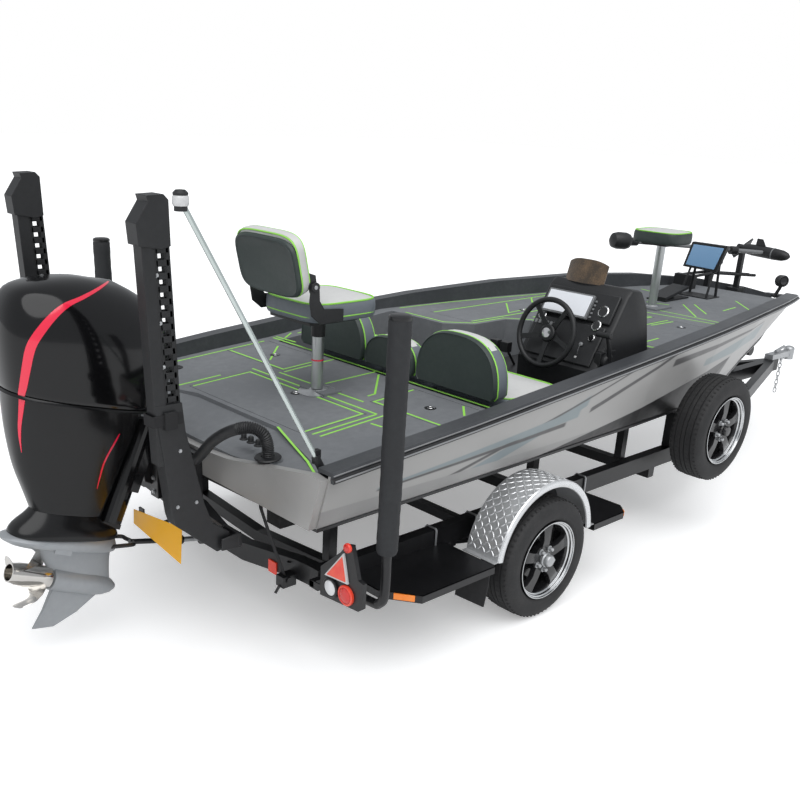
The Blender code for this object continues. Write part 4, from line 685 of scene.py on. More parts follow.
# Inlay lines: body, then the (x, y) corners that each line runs through
REAR_LINES = [
    (HULL, [(0.27, 0.905), (1.11, 0.917)]),
    (HULL, [(1.196, 0.94), (1.196, -0.85)]),
    (HULL, [(1.222, 0.945), (1.231, 0.76)]),
    (HULL, [(0.249, 0.52), (0.526, 0.52)]),
    (HULL, [(0.816, 0.33), (1.171, 0.33)]),
    (HULL, [(0.724, 0.5), (0.726, -0.52)]),
    (HULL, [(0.79, 0.34), (0.8, -0.34)]),
    (HULL, [(0.327, -0.52), (0.72, -0.52)]),
    (HULL, [(0.337, -0.564), (0.737, -0.557)]),
    (HULL, [(0.27, -0.334), (0.112, -0.752), (0.04, -0.9), (0.18, -0.9), (0.42, -0.88), (0.79, -0.89)]),
    (HULL, [(0.849, 0.017), (1.182, -0.008)]),
    (HULL, [(1.162, -0.058), (0.925, -0.287), (0.876, -0.287)]),
    (HULL, [(1.06, 0.3), (0.92, 0.17)]),
    (HULL, [(0.619, -0.595), (0.627, -0.664)]),
    (HULL, [(1.336, 0.94), (1.241, 0.88)]),
    ("lid_rear_centre", [(0.312, 0.458), (0.678, 0.458), (0.678, -0.468), (0.312, -0.468)]),
    ("lid_rear_port", [(0.842, 0.888), (0.842, 0.372), (1.118, 0.372)]),
    ("lid_rear_port", [(1.104, 0.77), (0.897, 0.569)]),
    ("lid_rear_starboard", [(1.118, -0.372), (0.842, -0.372), (0.842, -0.888)]),
    ("lid_rear_starboard", [(1.118, -0.72), (1.02, -0.817)]),
]
FRONT_LINES = [
    (HULL, [(1.36, 0.905), (2.25, 0.905), (2.7, 0.88), (3.2, 0.81), (3.85, 0.7)]),
    (HULL, [(2.172, 0.78), (2.172, 0.425), (2.31, 0.305), (2.61, 0.305), (2.735, 0.17), (2.735, -0.79)]),
    (HULL, [(3.822, 0.24), (3.8, -0.64)]),
    (HULL, [(3.63, 0.24), (3.74, -0.7)]),
    (HULL, [(4.331, 0.56), (3.9, 0.19)]),
    (HULL, [(4.343, 0.374), (4.183, 0.363), (3.975, 0.175)]),
    (HULL, [(4.489, 0.47), (4.455, 0.345)]),
    (HULL, [(4.182, -0.08), (3.84, -0.382)]),
    (HULL, [(4.261, -0.125), (4.0, -0.369)]),
    (HULL, [(4.227, -0.372), (4.445, -0.352)]),
    (HULL, [(4.695, -0.218), (4.415, -0.481)]),
    (HULL, [(5.46, 0.06), (5.292, -0.08), (5.438, -0.096), (5.58, 0.03), (5.46, 0.06)]),
    (HULL, [(4.028, 0.13), (4.07, -0.033)]),
    (HULL, [(2.742, -0.617), (2.742, -0.79)]),
    ("lid_rod_locker", [(2.345, 0.686), (3.705, 0.686)]),
    ("lid_rod_locker", [(2.345, 0.345), (3.705, 0.345)]),
    ("lid_rod_locker", [(3.035, 0.637), (2.78, 0.4), (3.022, 0.424)]),
    ("lid_rod_locker", [(3.368, 0.679), (3.232, 0.561)]),
    ("lid_front_centre", [(2.812, 0.218), (3.548, 0.218), (3.548, -0.218), (2.812, -0.218)]),
    ("lid_front_starboard", [(3.548, -0.342), (2.792, -0.342)]),
    ("lid_front_starboard", [(2.8, -0.632), (2.99, -0.62)]),
    ("lid_front_starboard", [(3.54, -0.387), (3.3, -0.372)]),
]


def inlay_bmesh(lines, width):
    """Flat inlays along the lines, mitred at their corners, just proud of the deck."""
    made = bmesh.new()
    for points in lines:
        closed = points[0] == points[-1]
        flat = [Vector(p) for p in points]
        count = len(flat)
        sides = []
        for i, point in enumerate(flat):
            before = flat[i] - flat[i - 1] if i else (flat[-1] - flat[-2] if closed else flat[1] - flat[0])
            after = flat[i + 1] - flat[i] if i < count - 1 else (flat[1] - flat[0] if closed else before)
            turn = (before.normalized() + after.normalized()).normalized()
            out = Vector((-turn.y, turn.x))
            reach = width / 2 / max(0.4, turn.dot(after.normalized()))
            sides.append((point + out * reach, point - out * reach))
        rows = []
        for left, right in sides:
            rows.append([made.verts.new((p.x, p.y, deck_level(p.x) + lift)) for p,
                         lift in ((left, INLAY_FOOT), (left, INLAY_LIFT), (right, INLAY_LIFT),
                    (right, INLAY_FOOT))])
        joined_rows(made, rows, caps=not closed)
    return made


class BoatStageSettings(bpy.types.PropertyGroup):
    floor_colour: bpy.props.FloatVectorProperty(
        name="Floor colour", description="Colour of the floor and the backdrop", subtype="COLOR", size=3,
        default=(0.93, 0.93, 0.93), min=0.0, max=1.0)
    sun_strength: bpy.props.FloatProperty(
        name="Sun", description="Strength of the wide soft sun over the starboard quarter", default=2.2,
        min=0.0)
    sky_strength: bpy.props.FloatProperty(
        name="Sky", description="Strength of the even light from all round", default=0.55, min=0.0)
    whiteness: bpy.props.FloatProperty(
        name="Floor glow", description="Light that the floor adds towards the camera, to read as white paper",
        default=0.3, min=0.0)


class BoatDeckSettings(bpy.types.PropertyGroup):
    inlay_width: bpy.props.FloatProperty(
        name="Inlay width", description="Width of the lime inlay lines", default=INLAY_WIDTH, min=0.002,
        unit="LENGTH")


class BOAT_OT_paint_frame(bpy.types.Operator):
    """Give every solid of the boat and the trailer its finish"""

    bl_idname = "boat.paint_frame"
    bl_label = "Paint the solids"

    def execute(self, context):
        make_finishes()
        for name, obj in NODES.items():
            chosen = NODE_FINISH.get(name)
            if chosen is None and name.startswith("lid_"):
                chosen = "deck_foam"
            if chosen is None:
                chosen = "moulded_black" if name in PLASTIC_NODES else "black_steel"
            obj.data.materials.clear()
            obj.data.materials.append(FINISH[chosen])
        return {"FINISHED"}


class BOAT_OT_deck_inlays(bpy.types.Operator):
    """Lay the lime inlay lines on the decks and the lids"""

    bl_idname = "boat.deck_inlays"
    bl_label = "Deck inlays"

    def execute(self, context):
        width = context.scene.boat_deck.inlay_width
        lines = {}
        for body, points in REAR_LINES + FRONT_LINES:
            lines.setdefault(body, []).append(points)
        for body, group in lines.items():
            name = "inlay_deck" if body == HULL else body.replace("lid", "inlay")
            piece(name, inlay_bmesh(group, width), "lime_inlay", body, 0)
        return {"FINISHED"}


# Engine: rows of the cover's outline in its own upright frame, u forward and w up from the tilt pin

ENGINE_LEAN = math.radians(24.2)
ENGINE_PLACE = Matrix.Translation((-0.2, 0.0, 1.0)) @ Matrix.Rotation(ENGINE_LEAN, 4, "Y")
COWL_ROWS = [
    # aft u, w; fore u, w; half width
    (-0.735, -0.004, -0.082, 0.1, 0.206), (-0.752, 0.022, -0.066, 0.122, 0.224),
    (-0.795, 0.11, -0.052, 0.19, 0.238),
    (-0.838, 0.215, -0.056, 0.27, 0.241), (-0.857, 0.31, -0.074, 0.35, 0.232),
    (-0.842, 0.385, -0.112, 0.425, 0.21),
    (-0.782, 0.44, -0.172, 0.483, 0.176), (-0.7, 0.486, -0.246, 0.524, 0.134),
    (-0.61, 0.522, -0.325, 0.548, 0.086),
    (-0.52, 0.543, -0.4, 0.558, 0.04), (-0.47, 0.556, -0.44, 0.561, 0.01),
]
COVER_ROWS = [
    (-0.728, -0.012, -0.122, 0.088, 0.198), (-0.7, -0.08, -0.12, 0.0, 0.178),
    (-0.65, -0.19, -0.118, -0.13, 0.142),
    (-0.58, -0.31, -0.117, -0.26, 0.112), (-0.5, -0.41, -0.118, -0.37, 0.092),
    (-0.452, -0.47, -0.122, -0.435, 0.084),
]
FLANGE_ROWS = [
    (-0.446, -0.466, -0.13, -0.44, 0.08), (-0.462, -0.5, -0.1, -0.464, 0.09),
    (-0.502, -0.556, -0.03, -0.482, 0.106),
    (-0.512, -0.594, -0.008, -0.515, 0.114), (-0.5, -0.6, -0.02, -0.522, 0.104),
]
PLATE_ROWS = [
    (-0.52, -0.598, -0.02, -0.52, 0.1), (-0.552, -0.616, 0.006, -0.556, 0.112),
    (-0.5, -0.638, 0.012, -0.586, 0.098),
    (-0.43, -0.64, 0.0, -0.6, 0.06),
]
STRUT_ROWS = [
    (-0.43, -0.63, -0.004, -0.59, 0.05), (-0.352, -0.668, 0.008, -0.64, 0.04), (-0.3, -0.71, 0.03, -0.7, 0.034),
    (-0.262, -0.755, 0.056, -0.762, 0.03),
]
PROP_AXIS = -0.771
# Skeg rows: fore, aft, half width, height of the fore and of the aft corner
SKEG_ROWS = [(0.01, -0.225, 0.0144, -0.8, -0.812), (-0.07, -0.235, 0.009, -0.915, -0.93),
             (-0.157, -0.254, 0.0045, -0.998, -1.02)]
# Blade rows: radius, chord, pitch in degrees, how far it is raked aft
BLADE_ROWS = [(0.042, 0.12, 66, 0.0), (0.065, 0.15, 56, -0.004), (0.09, 0.165, 48, -0.01),
              (0.115, 0.155, 43, -0.018), (0.136, 0.12, 40, -0.026), (0.148, 0.07, 38, -0.032),
              (0.153, 0.02, 38, -0.034)]
# Blade section: share of the chord, thickness to either side as a multiple of BLADE_HALF
BLADE_SECTION = [(-0.5, 0), (-0.3, 1), (0.0, 1.4), (0.3, 1), (0.5, 0), (0.3, -1), (0.0, -1.4), (-0.3, -1)]
BLADE_HALF, BLADE_PLACE, BLADE_TURN, BLADES = 0.0016, -0.356, 0.4, 3


def outline_row(row, angle, power=2.6):
    """A point of one row's rounded outline; angle 0 looks forward and half a turn looks aft."""
    aft_u, aft_w, fore_u, fore_w, half = row
    c, s = math.cos(angle), math.sin(angle)
    reach = squared(c, power)
    return Vector(((aft_u + fore_u) / 2 + reach * (fore_u - aft_u) / 2, half * squared(s, power),
                   (aft_w + fore_w) / 2 + reach * (fore_w - aft_w) / 2))


def between_rows(rows, share):
    """A row between two of the table's, on a smooth curve through them all; share runs from 0 to 1."""
    spot = min(max(share, 0.0), 1.0) * (len(rows) - 1)
    i = min(int(spot), len(rows) - 2)
    t = spot - i
    before, after = rows[max(i - 1, 0)], rows[min(i + 2, len(rows) - 1)]
    return [eased(t, b, c, (c - a) / 2, (d - b) / 2) for a, b, c, d in zip(before, rows[i], rows[i + 1], after)]


def rounded_body(made, rows, levels, slot=0, count=56, power=2.6):
    sections = []
    for level in range(levels + 1):
        row = between_rows(rows, level / levels)
        sections.append([outline_row(row, 2 * math.pi * (k + 0.5) / count, power) for k in range(count)])
    loft(made, sections, slot)


# How far the stripe's two faces stand out of the cover and lie in it
STRIPE_LIFT, STRIPE_SINK = 0.0028, 0.002
# The stripe's middle: share up the table's rows, angle round them, half width
COWL_STRIPE = [(0.9, -1.62, 0.004), (0.63, -1.902, 0.011), (0.52, -2.059, 0.015), (0.38, -2.269, 0.018),
               (0.28, -2.443, 0.019), (0.18, -2.548, 0.018), (0.08, -2.635, 0.016), (0.01, -2.65, 0.014)]
COVER_STRIPE = [(0.03, -2.64, 0.014), (0.16, -2.655, 0.011), (0.32, -2.688, 0.007), (0.47, -2.67, 0.001)]
COVER_FORE_STRIPE = [(0.24, -1.11, 0.001), (0.3, -1.134, 0.004), (0.45, -1.204, 0.004), (0.56, -1.2, 0.003),
        (0.66, -1.187, 0.001)]


def stripe_ribbon(made, rows, entries, side):
    """A thin ribbon that follows the cover's surface, its width measured along the surface."""
    step = 0.02
    strips = []
    for share, angle, half in curve_through(entries, 8):
        row = between_rows(rows, share)
        around = outline_row(row, angle + step) - outline_row(row, angle - step)
        spread = max(half, 0.0008) / max(around.length / (2 * step), 0.05)
        top, base = between_rows(rows, min(share + step, 1.0)), between_rows(rows, max(share - step, 0.0))
        out = around.normalized().cross(outline_row(top, angle) - outline_row(base, angle)).normalized()
        outer, inner = [], []
        for k in range(7):
            spot = outline_row(row, angle + spread * (k - 3) / 3)
            outer.append(spot + out * STRIPE_LIFT)
            inner.append(spot - out * STRIPE_SINK)
        strips.append([(p.x, p.y * side, p.z) for p in outer + inner[::-1]])
    loft(made, strips)


class BOAT_OT_engine(bpy.types.Operator):
    """Outboard: gloss cowl over its cover and flange, silver leg with its plates, and propeller"""

    bl_idname = "boat.engine"
    bl_label = "Outboard engine"

    def execute(self, context):
        made = bmesh.new()
        rounded_body(made, COWL_ROWS, 30)
        cowl = piece("cowl_shell", moved(made, ENGINE_PLACE), "gloss_black", "engine", 40)

        made = bmesh.new()
        # The seam under the cowl: a lip between its foot and its shoulder
        a, b, c, d, half = COWL_ROWS[0]
        a, b, c, d, half = a - 0.005, b - 0.004, c + 0.005, d - 0.004, half + 0.006
        rounded_body(made, [(a, b - 0.008, c, d - 0.008, half), (a, b, c, d, half),
                            (a, b + 0.004, c, d + 0.004, half - 0.003)], 2)
        rounded_body(made, COVER_ROWS, 18)
        rounded_body(made, FLANGE_ROWS, 10)
        block(made, (-0.2, -0.06, 0.0355), (-0.015, 0.06, 0.049))
        block(made, (-0.2, -0.05, -0.485), (-0.02, 0.05, -0.462))
        turned(made, [(0.016, 0.0), (0.016, 0.012), (0.01, 0.014), (0.01, 0.006)], (-0.4, -0.104, -0.235),
               (-0.1, -1, -0.25), 20)
        piece("engine_cover", moved(made, ENGINE_PLACE), "satin_cover", "engine", 40)

        made = bmesh.new()
        rounded_body(made, PLATE_ROWS, 6, power=2.2)
        rounded_body(made, STRUT_ROWS, 10, power=2.0)
        turned(made, [(0.0, 0.087), (0.016, 0.08), (0.034, 0.055), (0.048, 0.015), (0.056, -0.04),
                      (0.058, -0.11), (0.057, -0.2), (0.054, -0.252), (0.0, -0.253)], (0, 0, PROP_AXIS),
               (1, 0, 0), 36)
        loft(made, [[(fore, -half, top), (fore, half, top), (aft, half, low), (aft, -half, low)] for fore, aft,
                    half, top, low in SKEG_ROWS])
        for side in (-1, 1):
            block(made, (-0.33, side * 0.1 - 0.004, -0.628), (-0.25, side * 0.1 + 0.004, -0.604))
        leg = piece("engine_lower", moved(made, ENGINE_PLACE), "leg_silver", "engine", 40)
        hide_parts("engine_cowl")
        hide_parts("engine_leg")

        made = bmesh.new()
        for side in (-1, 1):
            stripe_ribbon(made, COWL_ROWS, COWL_STRIPE, -side)
            stripe_ribbon(made, COVER_ROWS, COVER_STRIPE, -side)
            stripe_ribbon(made, COVER_ROWS, COVER_FORE_STRIPE, -side)
        piece("engine_stripe", moved(made, ENGINE_PLACE), "stripe_red", "engine", 60)

        made = bmesh.new()
        turned(made, [(0.0, -0.006), (0.046, 0.0), (0.052, 0.01), (0.053, 0.06), (0.05, 0.15), (0.043, 0.196),
                      (0.037, 0.196), (0.04, 0.12), (0.0, 0.118)], (-0.256, 0, PROP_AXIS), (-1, 0, 0), 36)
        rows = []
        for radius, chord, pitch, rake in BLADE_ROWS:
            lean = math.radians(pitch)
            row = []
            for along, thick in BLADE_SECTION:
                a, t = along * chord, thick * BLADE_HALF
                wrap = (a * math.cos(lean) - t * math.sin(lean)) / radius
                row.append((BLADE_PLACE + rake + a * math.sin(lean) + t * math.cos(lean), radius
                            * math.sin(wrap), PROP_AXIS + radius * math.cos(wrap)))
            rows.append(row)
        centre = Matrix.Translation((0, 0, PROP_AXIS))
        for i in range(BLADES):
            blade = bmesh.new()
            loft(blade, rows)
            set_in(made, blade, centre @ Matrix.Rotation(2 * math.pi * i / BLADES + BLADE_TURN, 4, "X")
                   @ centre.inverted())
        prop = piece("prop_blades", moved(made, ENGINE_PLACE), "polished_steel", "propeller", 40)
        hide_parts("propeller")
        return {"FINISHED"}


# Stern gear


MAST_LEAN, MAST_Y, MAST_WALL = 0.043, 0.54, 0.004
GUSSET_BOLTS = [(-0.42, 0.86), (-0.33, 0.86), (-0.4, 1.1), (-0.44, 1.25)]


def mast_x(x, z):
    """A mast's x at a height, given its x at 1.3 m: the masts lean aft towards their caps."""
    return x - MAST_LEAN * (z - 1.3)


def make_mast(side):
    """A fold-down shallow-water anchor: a smooth bar and a slotted plate under one cap, on a gusset."""
    made = bmesh.new()

    def leaning(aft, fore, low, high, inner, outer):
        plate(made, [(mast_x(x, z), z) for x, z in oblong(aft, low, fore, high)], "xz", MAST_Y + inner, MAST_Y
              + outer)

    leaning(-0.508, -0.456, 1.05, 1.955, -0.031, 0.031)
    for y in (-0.019, 0.016):
        for aft in (-0.457, -0.404):
            leaning(aft, aft + 0.02, 1.1, 2.02, y, y + MAST_WALL)
        for i in range(20):
            z = 1.11 + 0.048 * i
            leaning(-0.447, -0.39, z, z + 0.026, y, y + MAST_WALL)
    plate(made, [(-0.505, 2.066), (-0.512, 2.087), (-0.44, 2.09), (-0.42, 2.07), (-0.416, 1.905),
                 (-0.452, 1.895), (-0.55, 1.912), (-0.557, 1.992)], "xz", 0.5, 0.58)
    plate(made, [(-0.508, 1.3), (-0.385, 1.3), (-0.372, 1.18), (-0.292, 0.85), (-0.254, 0.747), (-0.168, 0.682),
                 (-0.162, 0.612), (-0.232, 0.604), (-0.43, 0.775), (-0.443, 0.82), (-0.464, 0.98)], "xz", 0.506,
          0.574)
    rod(made, (-0.2, 0.4935, 0.64), (-0.2, 0.5865, 0.64), 0.014)
    return on_side(made, side)


HOSE_ROUTE = [
    (0.023, -0.592, 0.9866), (0.023, -0.592, 1.01), (0.021, -0.591, 1.045), (0.0, -0.585, 1.1),
    (-0.045, -0.545, 1.125), (-0.095, -0.47, 1.095), (-0.12, -0.38, 1.03), (-0.128, -0.3, 0.95),
    (-0.125, -0.23, 0.895), (-0.125, -0.18, 0.89), (-0.125, -0.155, 0.89), (-0.125, -0.1326, 0.89),
]


class BOAT_OT_stern_gear(bpy.types.Operator):
    """Anchors, lifting plate, rigging hose, stern light, number plate and the rod that steadies the engine"""

    bl_idname = "boat.stern_gear"
    bl_label = "Stern gear"

    def execute(self, context):
        points = bmesh.new()
        route = [points.verts.new(p + Vector((TRANSOM_X, 0, 0))) for p in curve_through(HOSE_ROUTE, 8)]
        for first, second in zip(route, route[1:]):
            points.edges.new((first, second))
        hose = grown("rigging_hose_skin", plain_object("hose_line", points), HOSE,
                     {"Radius": 0.0255, "Pitch": 0.0085, "Depth": 0.0022, "Ribbed share": 0.34,
                      "Material": FINISH["hose_rubber"]}, HULL)
        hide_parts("rigging_hose")

        made = bmesh.new()
        x, y, z = HOSE_ROUTE[0]
        turned(made, [(0.03, 0.0), (0.058, 0.0), (0.06, 0.004), (0.056, 0.009), (0.036, 0.012), (0.03, 0.012)],
               (x, y, z - 0.001), (-0.06, 0, 1), 40, hollow=True)
        piece("hose_flange", made, "moulded_black")

        for side, name in ((1, "port"), (-1, "starboard")):
            mast = piece("mast_" + name, make_mast(side), "moulded_black", "anchor_" + name, 30, 0.003)
            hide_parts("anchor_" + name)
            strap = bmesh.new()
            outline = oblong(-0.519, -0.037, -0.384, 0.037)
            inner = [(x * 0.985 - 0.0068, y * 0.9) for x, y in outline]
            low, high = 1.215, 1.262
            loft(strap, [[(x, MAST_Y + y, z) for x, y in shape] for shape,
                         z in ((inner, low), (outline, low), (outline, high), (inner, high))], caps=False)
            block(strap, (-0.47, 0.576, 1.2), (-0.415, 0.588, 1.272))
            piece("mast_strap_" + name, on_side(strap, side), "strap_webbing", "anchor_" + name, 30, 0.002)
            heads = [((mast_x(-0.448, z), side * 0.5612, z), (0, side, 0), 0.3)
                     for z in (1.15, 1.45, 1.62, 1.8)]
            for y, way in ((0.574, side), (0.506, -side)):
                heads += [((x, side * y, z), (0, way, 0), 0.1) for x, z in GUSSET_BOLTS]
            copies("mast_bolts_" + name, bolt_head(0.0065, 0.006), heads, "zinc", "anchor_" + name,
                   slot="anchor_" + name)

        made = bmesh.new()
        block(made, (-0.08, -0.17, 0.6), (-0.0406, 0.17, 0.9))
        for side in (-1, 1):
            block(made, (-0.155, side * 0.085 - 0.035, 0.62), (-0.078, side * 0.085 + 0.035, 0.945))
            plate(made, [(-0.12, 0.66), (-0.12, 0.925), (-0.19, 1.036), (-0.236, 1.02), (-0.236, 0.97),
                         (-0.19, 0.7)], "xz", side * 0.118 - 0.014, side * 0.118 + 0.014)
            plate(made, [(-0.0406, side * 0.12), (-0.0406, side * 0.2), (-0.118, side * 0.49),
                         (-0.118, side * 0.598), (-0.14, side * 0.598), (-0.14, side * 0.48),
                         (-0.11, side * 0.12)], "xy", 0.612, 0.672)
            for cheek in (-0.052, 0.052):
                y0 = side * MAST_Y + cheek
                plate(made, [(-0.12, 0.604), (-0.12, 0.676), (-0.222, 0.666), (-0.222, 0.612)], "xz", y0
                      - 0.005, y0 + 0.005)
        rod(made, (-0.11, 0, 0.56), (-0.11, 0, 0.7), 0.034)
        brace = piece("lifting_plate", made, "black_steel", HULL, 30, 0.003)
        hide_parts("jack_plate")
        heads = [((-0.1555, side * 0.085, z), (-1, 0, 0), 0.2) for side in (-1, 1)
                 for z in (0.65, 0.72, 0.86, 0.92)]
        heads += [((-0.178, side * 0.1325, z), (0, side, 0), 0.2) for side in (-1, 1)
                  for z in (0.76, 0.85, 0.94)]
        copies("lifting_bolts", bolt_head(0.01, 0.009), heads, "zinc", slot="jack_plate")

        made = bmesh.new()
        plate(made, [(0.024, 0.614), (-0.402, 0.672), (-0.384, 0.489), (0.031, 0.539)], "yz", -0.302, -0.299)
        plate(made, oblong(-0.02, 0.604, -0.06, 0.64), "yz", -0.299, -0.29, 1)
        tube(made, [(-0.292, -0.18, 0.61), (-0.2, -0.16, 0.6), (-0.08, -0.12, 0.6)], 0.008, 8, 1)
        piece("number_plate", made, ["plate_yellow", "black_steel"], HULL, 30)

        made = bmesh.new()
        rod(made, (0.19, 0, 0.355), (0.043, 0, 0.378), 0.03, 20)
        rod(made, (0.045, 0, 0.378), (-0.07, 0, 0.401), 0.013, 14, 1)
        rod(made, (-0.06, 0, 0.399), (-0.116, 0, 0.411), 0.022, 18)
        rod(made, (-0.11, 0, 0.41), (-0.345, 0, 0.466), 0.013, 14)
        for side in (-1, 1):
            tube(made, curve_through([(-0.33, 0, 0.463), (-0.345, side * 0.035, 0.47),
                    (-0.365, side * 0.058, 0.478), (-0.48, side * 0.062, 0.5)], 5), 0.01, 8)
        rod(made, (0.046, -0.032, 0.378), (0.046, 0.032, 0.378), 0.006, 10, 1)
        piece("engine_steady", made, ["black_steel", "zinc"], HULL, 40)

        made = bmesh.new()
        foot, top = Vector((0.06, -0.94, 1.0005)), Vector((-0.45, -0.71, 2.08))
        along = (top - foot).normalized()
        turned(made, [(0.03, 0.0), (0.03, 0.004), (0.02, 0.012), (0.016, 0.014)], foot, (0, 0, 1), 24)
        for side in (-1, 1):
            cheek = foot + Vector((side * 0.013, 0, 0))
            block(made, cheek + Vector((-0.003, -0.014, 0.004)), cheek + Vector((0.003, 0.014, 0.034)))
        rod(made, foot + along * 0.012, foot + along * 0.105, 0.017, 20, 1)
        block(made, (foot.x - 0.05, foot.y + 0.01, foot.z + 0.06),
              (foot.x - 0.022, foot.y + 0.034, foot.z + 0.12), 1)
        rod(made, foot + along * 0.1, top - along * 0.01, 0.0105, 20, 2)
        rod(made, top - Vector((0, 0, 0.036)), top - Vector((0, 0, 0.016)), 0.024, 24, 1)
        turned(made, [(0.0, -0.018), (0.027, -0.018), (0.03, -0.01), (0.03, 0.012), (0.026, 0.018),
                      (0.0, 0.019)], top, (0, 0, 1), 28, 3)
        turned(made, [(0.0, 0.018), (0.027, 0.018), (0.028, 0.026), (0.018, 0.036), (0.0, 0.038)], top,
               (0, 0, 1), 28, 1)
        light = piece("stern_light_post", made, ["chrome", "moulded_black", "light_pole", "lamp_white"], HULL,
                      35)
        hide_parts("stern_light")
        return {"FINISHED"}


# Running gear and trailer

WHEEL_X, WHEEL_Y, WHEEL_Z = 1.368, 1.058, 0.32
TREAD_BLOCKS, SPOKES, SPOKE_TURN = 64, 5, 0.32
WHEELS = [
    # suffix, body, CAD node of the tyre, CAD node of the rim, centre, the side its face looks to
    ("port", "wheel_port", "tyre_port", "rim_port", (WHEEL_X, WHEEL_Y, WHEEL_Z), 1),
    ("starboard", "wheel_starboard", "tyre_starboard", "rim_starboard", (WHEEL_X, -WHEEL_Y, WHEEL_Z), -1),
    ("spare", HULL, "spare_wheel", None, (3.052, -1.029, 0.681), -1),
]
TYRE_HALF = [(0.208, 0.083), (0.216, 0.094), (0.228, 0.0995), (0.233, 0.1015), (0.238, 0.101), (0.244, 0.1025),
             (0.264, 0.103), (0.284, 0.0995), (0.3, 0.092), (0.3095, 0.082), (0.3155, 0.069), (0.3172, 0.056),
             (0.3174, 0.0545), (0.311, 0.053), (0.311, 0.048), (0.3182, 0.0465), (0.3196, 0.019),
             (0.3197, 0.0175), (0.3128, 0.016), (0.3128, 0.011), (0.3199, 0.0095)]


# Spoke rows: distance from the hub, half width at the back and at the face, height of both
SPOKE_ROWS = [(0.05, 0.031, 0.028, 0.04, 0.07), (0.11, 0.03, 0.025, 0.05, 0.078),
              (0.16, 0.036, 0.03, 0.05, 0.076), (0.184, 0.05, 0.044, 0.048, 0.072)]


def on_round(centre, angle, radius, across):
    """A place on a wheel's or a guard's round: Z looks outward, X along the round, Y across the boat."""
    outward = Vector((math.cos(angle), 0, math.sin(angle)))
    turn = Matrix((Vector((-math.sin(angle), 0, math.cos(angle))), Vector((0, across, 0)),
                   outward)).transposed().to_4x4()
    return Matrix.Translation(Vector(centre) + outward * radius) @ turn


def make_wheel(suffix, body, tyre_node, rim_node, centre, side):
    """Tyre with its tread blocks, spoked rim with a bright lip, nuts and hub cap."""
    out = (0, side, 0)
    made = bmesh.new()
    turned(made, TYRE_HALF + [(r, -y) for r, y in reversed(TYRE_HALF)] + [(0.206, -0.08), (0.206, 0.08)],
           centre, out, 72, hollow=True)
    tyre = piece("tyre_" + suffix, made, "tyre_rubber", body, 30)
    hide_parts(tyre_node)
    made = bmesh.new()
    block(made, (-0.0042, -0.0125, -0.004), (0.0042, 0.0125, 0.0042))
    places = []
    for i in range(TREAD_BLOCKS):
        for across, offset, radius in ((0.0685, 0.0, 0.3122), (0.0325, 0.5, 0.316)):
            for sign in (-1, 1):
                spot = Vector(centre) + Vector((0, across * sign, 0))
                places.append(on_round(spot, 2 * math.pi * (i + offset) / TREAD_BLOCKS, radius, 1))
    copies("tread_" + suffix, made, places, "tyre_rubber", body, slot=tyre_node)

    made = bmesh.new()
    turned(made, [(0.2075, 0.099), (0.2085, 0.101), (0.203, 0.101), (0.201, 0.093), (0.1945, 0.0905),
                  (0.1925, 0.079), (0.186, 0.076), (0.185, 0.07), (0.187, 0.069), (0.204, 0.079)], centre, out,
           60, 1, True)
    turned(made, [(0.186, 0.074), (0.178, 0.06), (0.174, -0.06), (0.19, -0.086), (0.207, -0.1), (0.207, -0.09),
                  (0.196, -0.076), (0.18, -0.056), (0.185, 0.06), (0.19, 0.074)], centre, out, 60, 0, True)
    turned(made, [(0.0, 0.02), (0.12, 0.02), (0.15, -0.01), (0.15, -0.04), (0.0, -0.04)], centre, out, 36)
    turned(made, [(0.0, 0.03), (0.078, 0.03), (0.074, 0.066), (0.05, 0.072), (0.0, 0.072)], centre, out, 40)
    turn = Vector(out).to_track_quat("Z", "Y").to_matrix().to_4x4()
    for i in range(SPOKES):
        spoke = bmesh.new()
        loft(spoke, [[(x, -back, low), (x, back, low), (x, face, high), (x, -face, high)] for x, back, face,
                     low, high in SPOKE_ROWS])
        set_in(made, spoke, Matrix.Translation(centre) @ turn
               @ Matrix.Rotation(2 * math.pi * i / SPOKES + SPOKE_TURN, 4, "Z"))
    rim = piece("rim_" + suffix, made, ["rim_black", "rim_lip"], body, 35, 0.0015)
    if rim_node:
        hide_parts(rim_node)
    unit = bmesh.new()
    turned(unit, [(0.0165, 0.0), (0.0165, 0.003), (0.011, 0.004), (0.011, 0.017), (0.0085, 0.023),
                  (0.0, 0.024)], (0, 0, 0), (0, 0, 1), 12)
    nuts = []
    for i in range(SPOKES):
        a = 2 * math.pi * (i + 0.5) / SPOKES + SPOKE_TURN
        nuts.append((Vector(centre) + turn @ Vector((0.0575 * math.cos(a), 0.0575 * math.sin(a), 0.071)), out,
                     0.0))
    copies("nuts_" + suffix, unit, nuts, "zinc", body, slot=rim_node or tyre_node)
    made = bmesh.new()
    turned(made, [(0.036, 0.07), (0.036, 0.083), (0.031, 0.089), (0.031, 0.108), (0.027, 0.115), (0.0, 0.117)],
           centre, out, 32)
    piece("hub_cap_" + suffix, made, "zinc" if suffix != "spare" else "rim_black", body, 35)


FENDER_CENTRE = (WHEEL_X, 0.366)
FENDER_R = 0.372
FENDER_INNER, FENDER_OUTER = 0.925, 1.13


def arc_points(radius, low, high, steps, centre=FENDER_CENTRE):
    angles = [math.radians(low + (high - low) * i / steps) for i in range(steps + 1)]
    return [(centre[0] + radius * math.cos(a), centre[1] + radius * math.sin(a)) for a in angles]


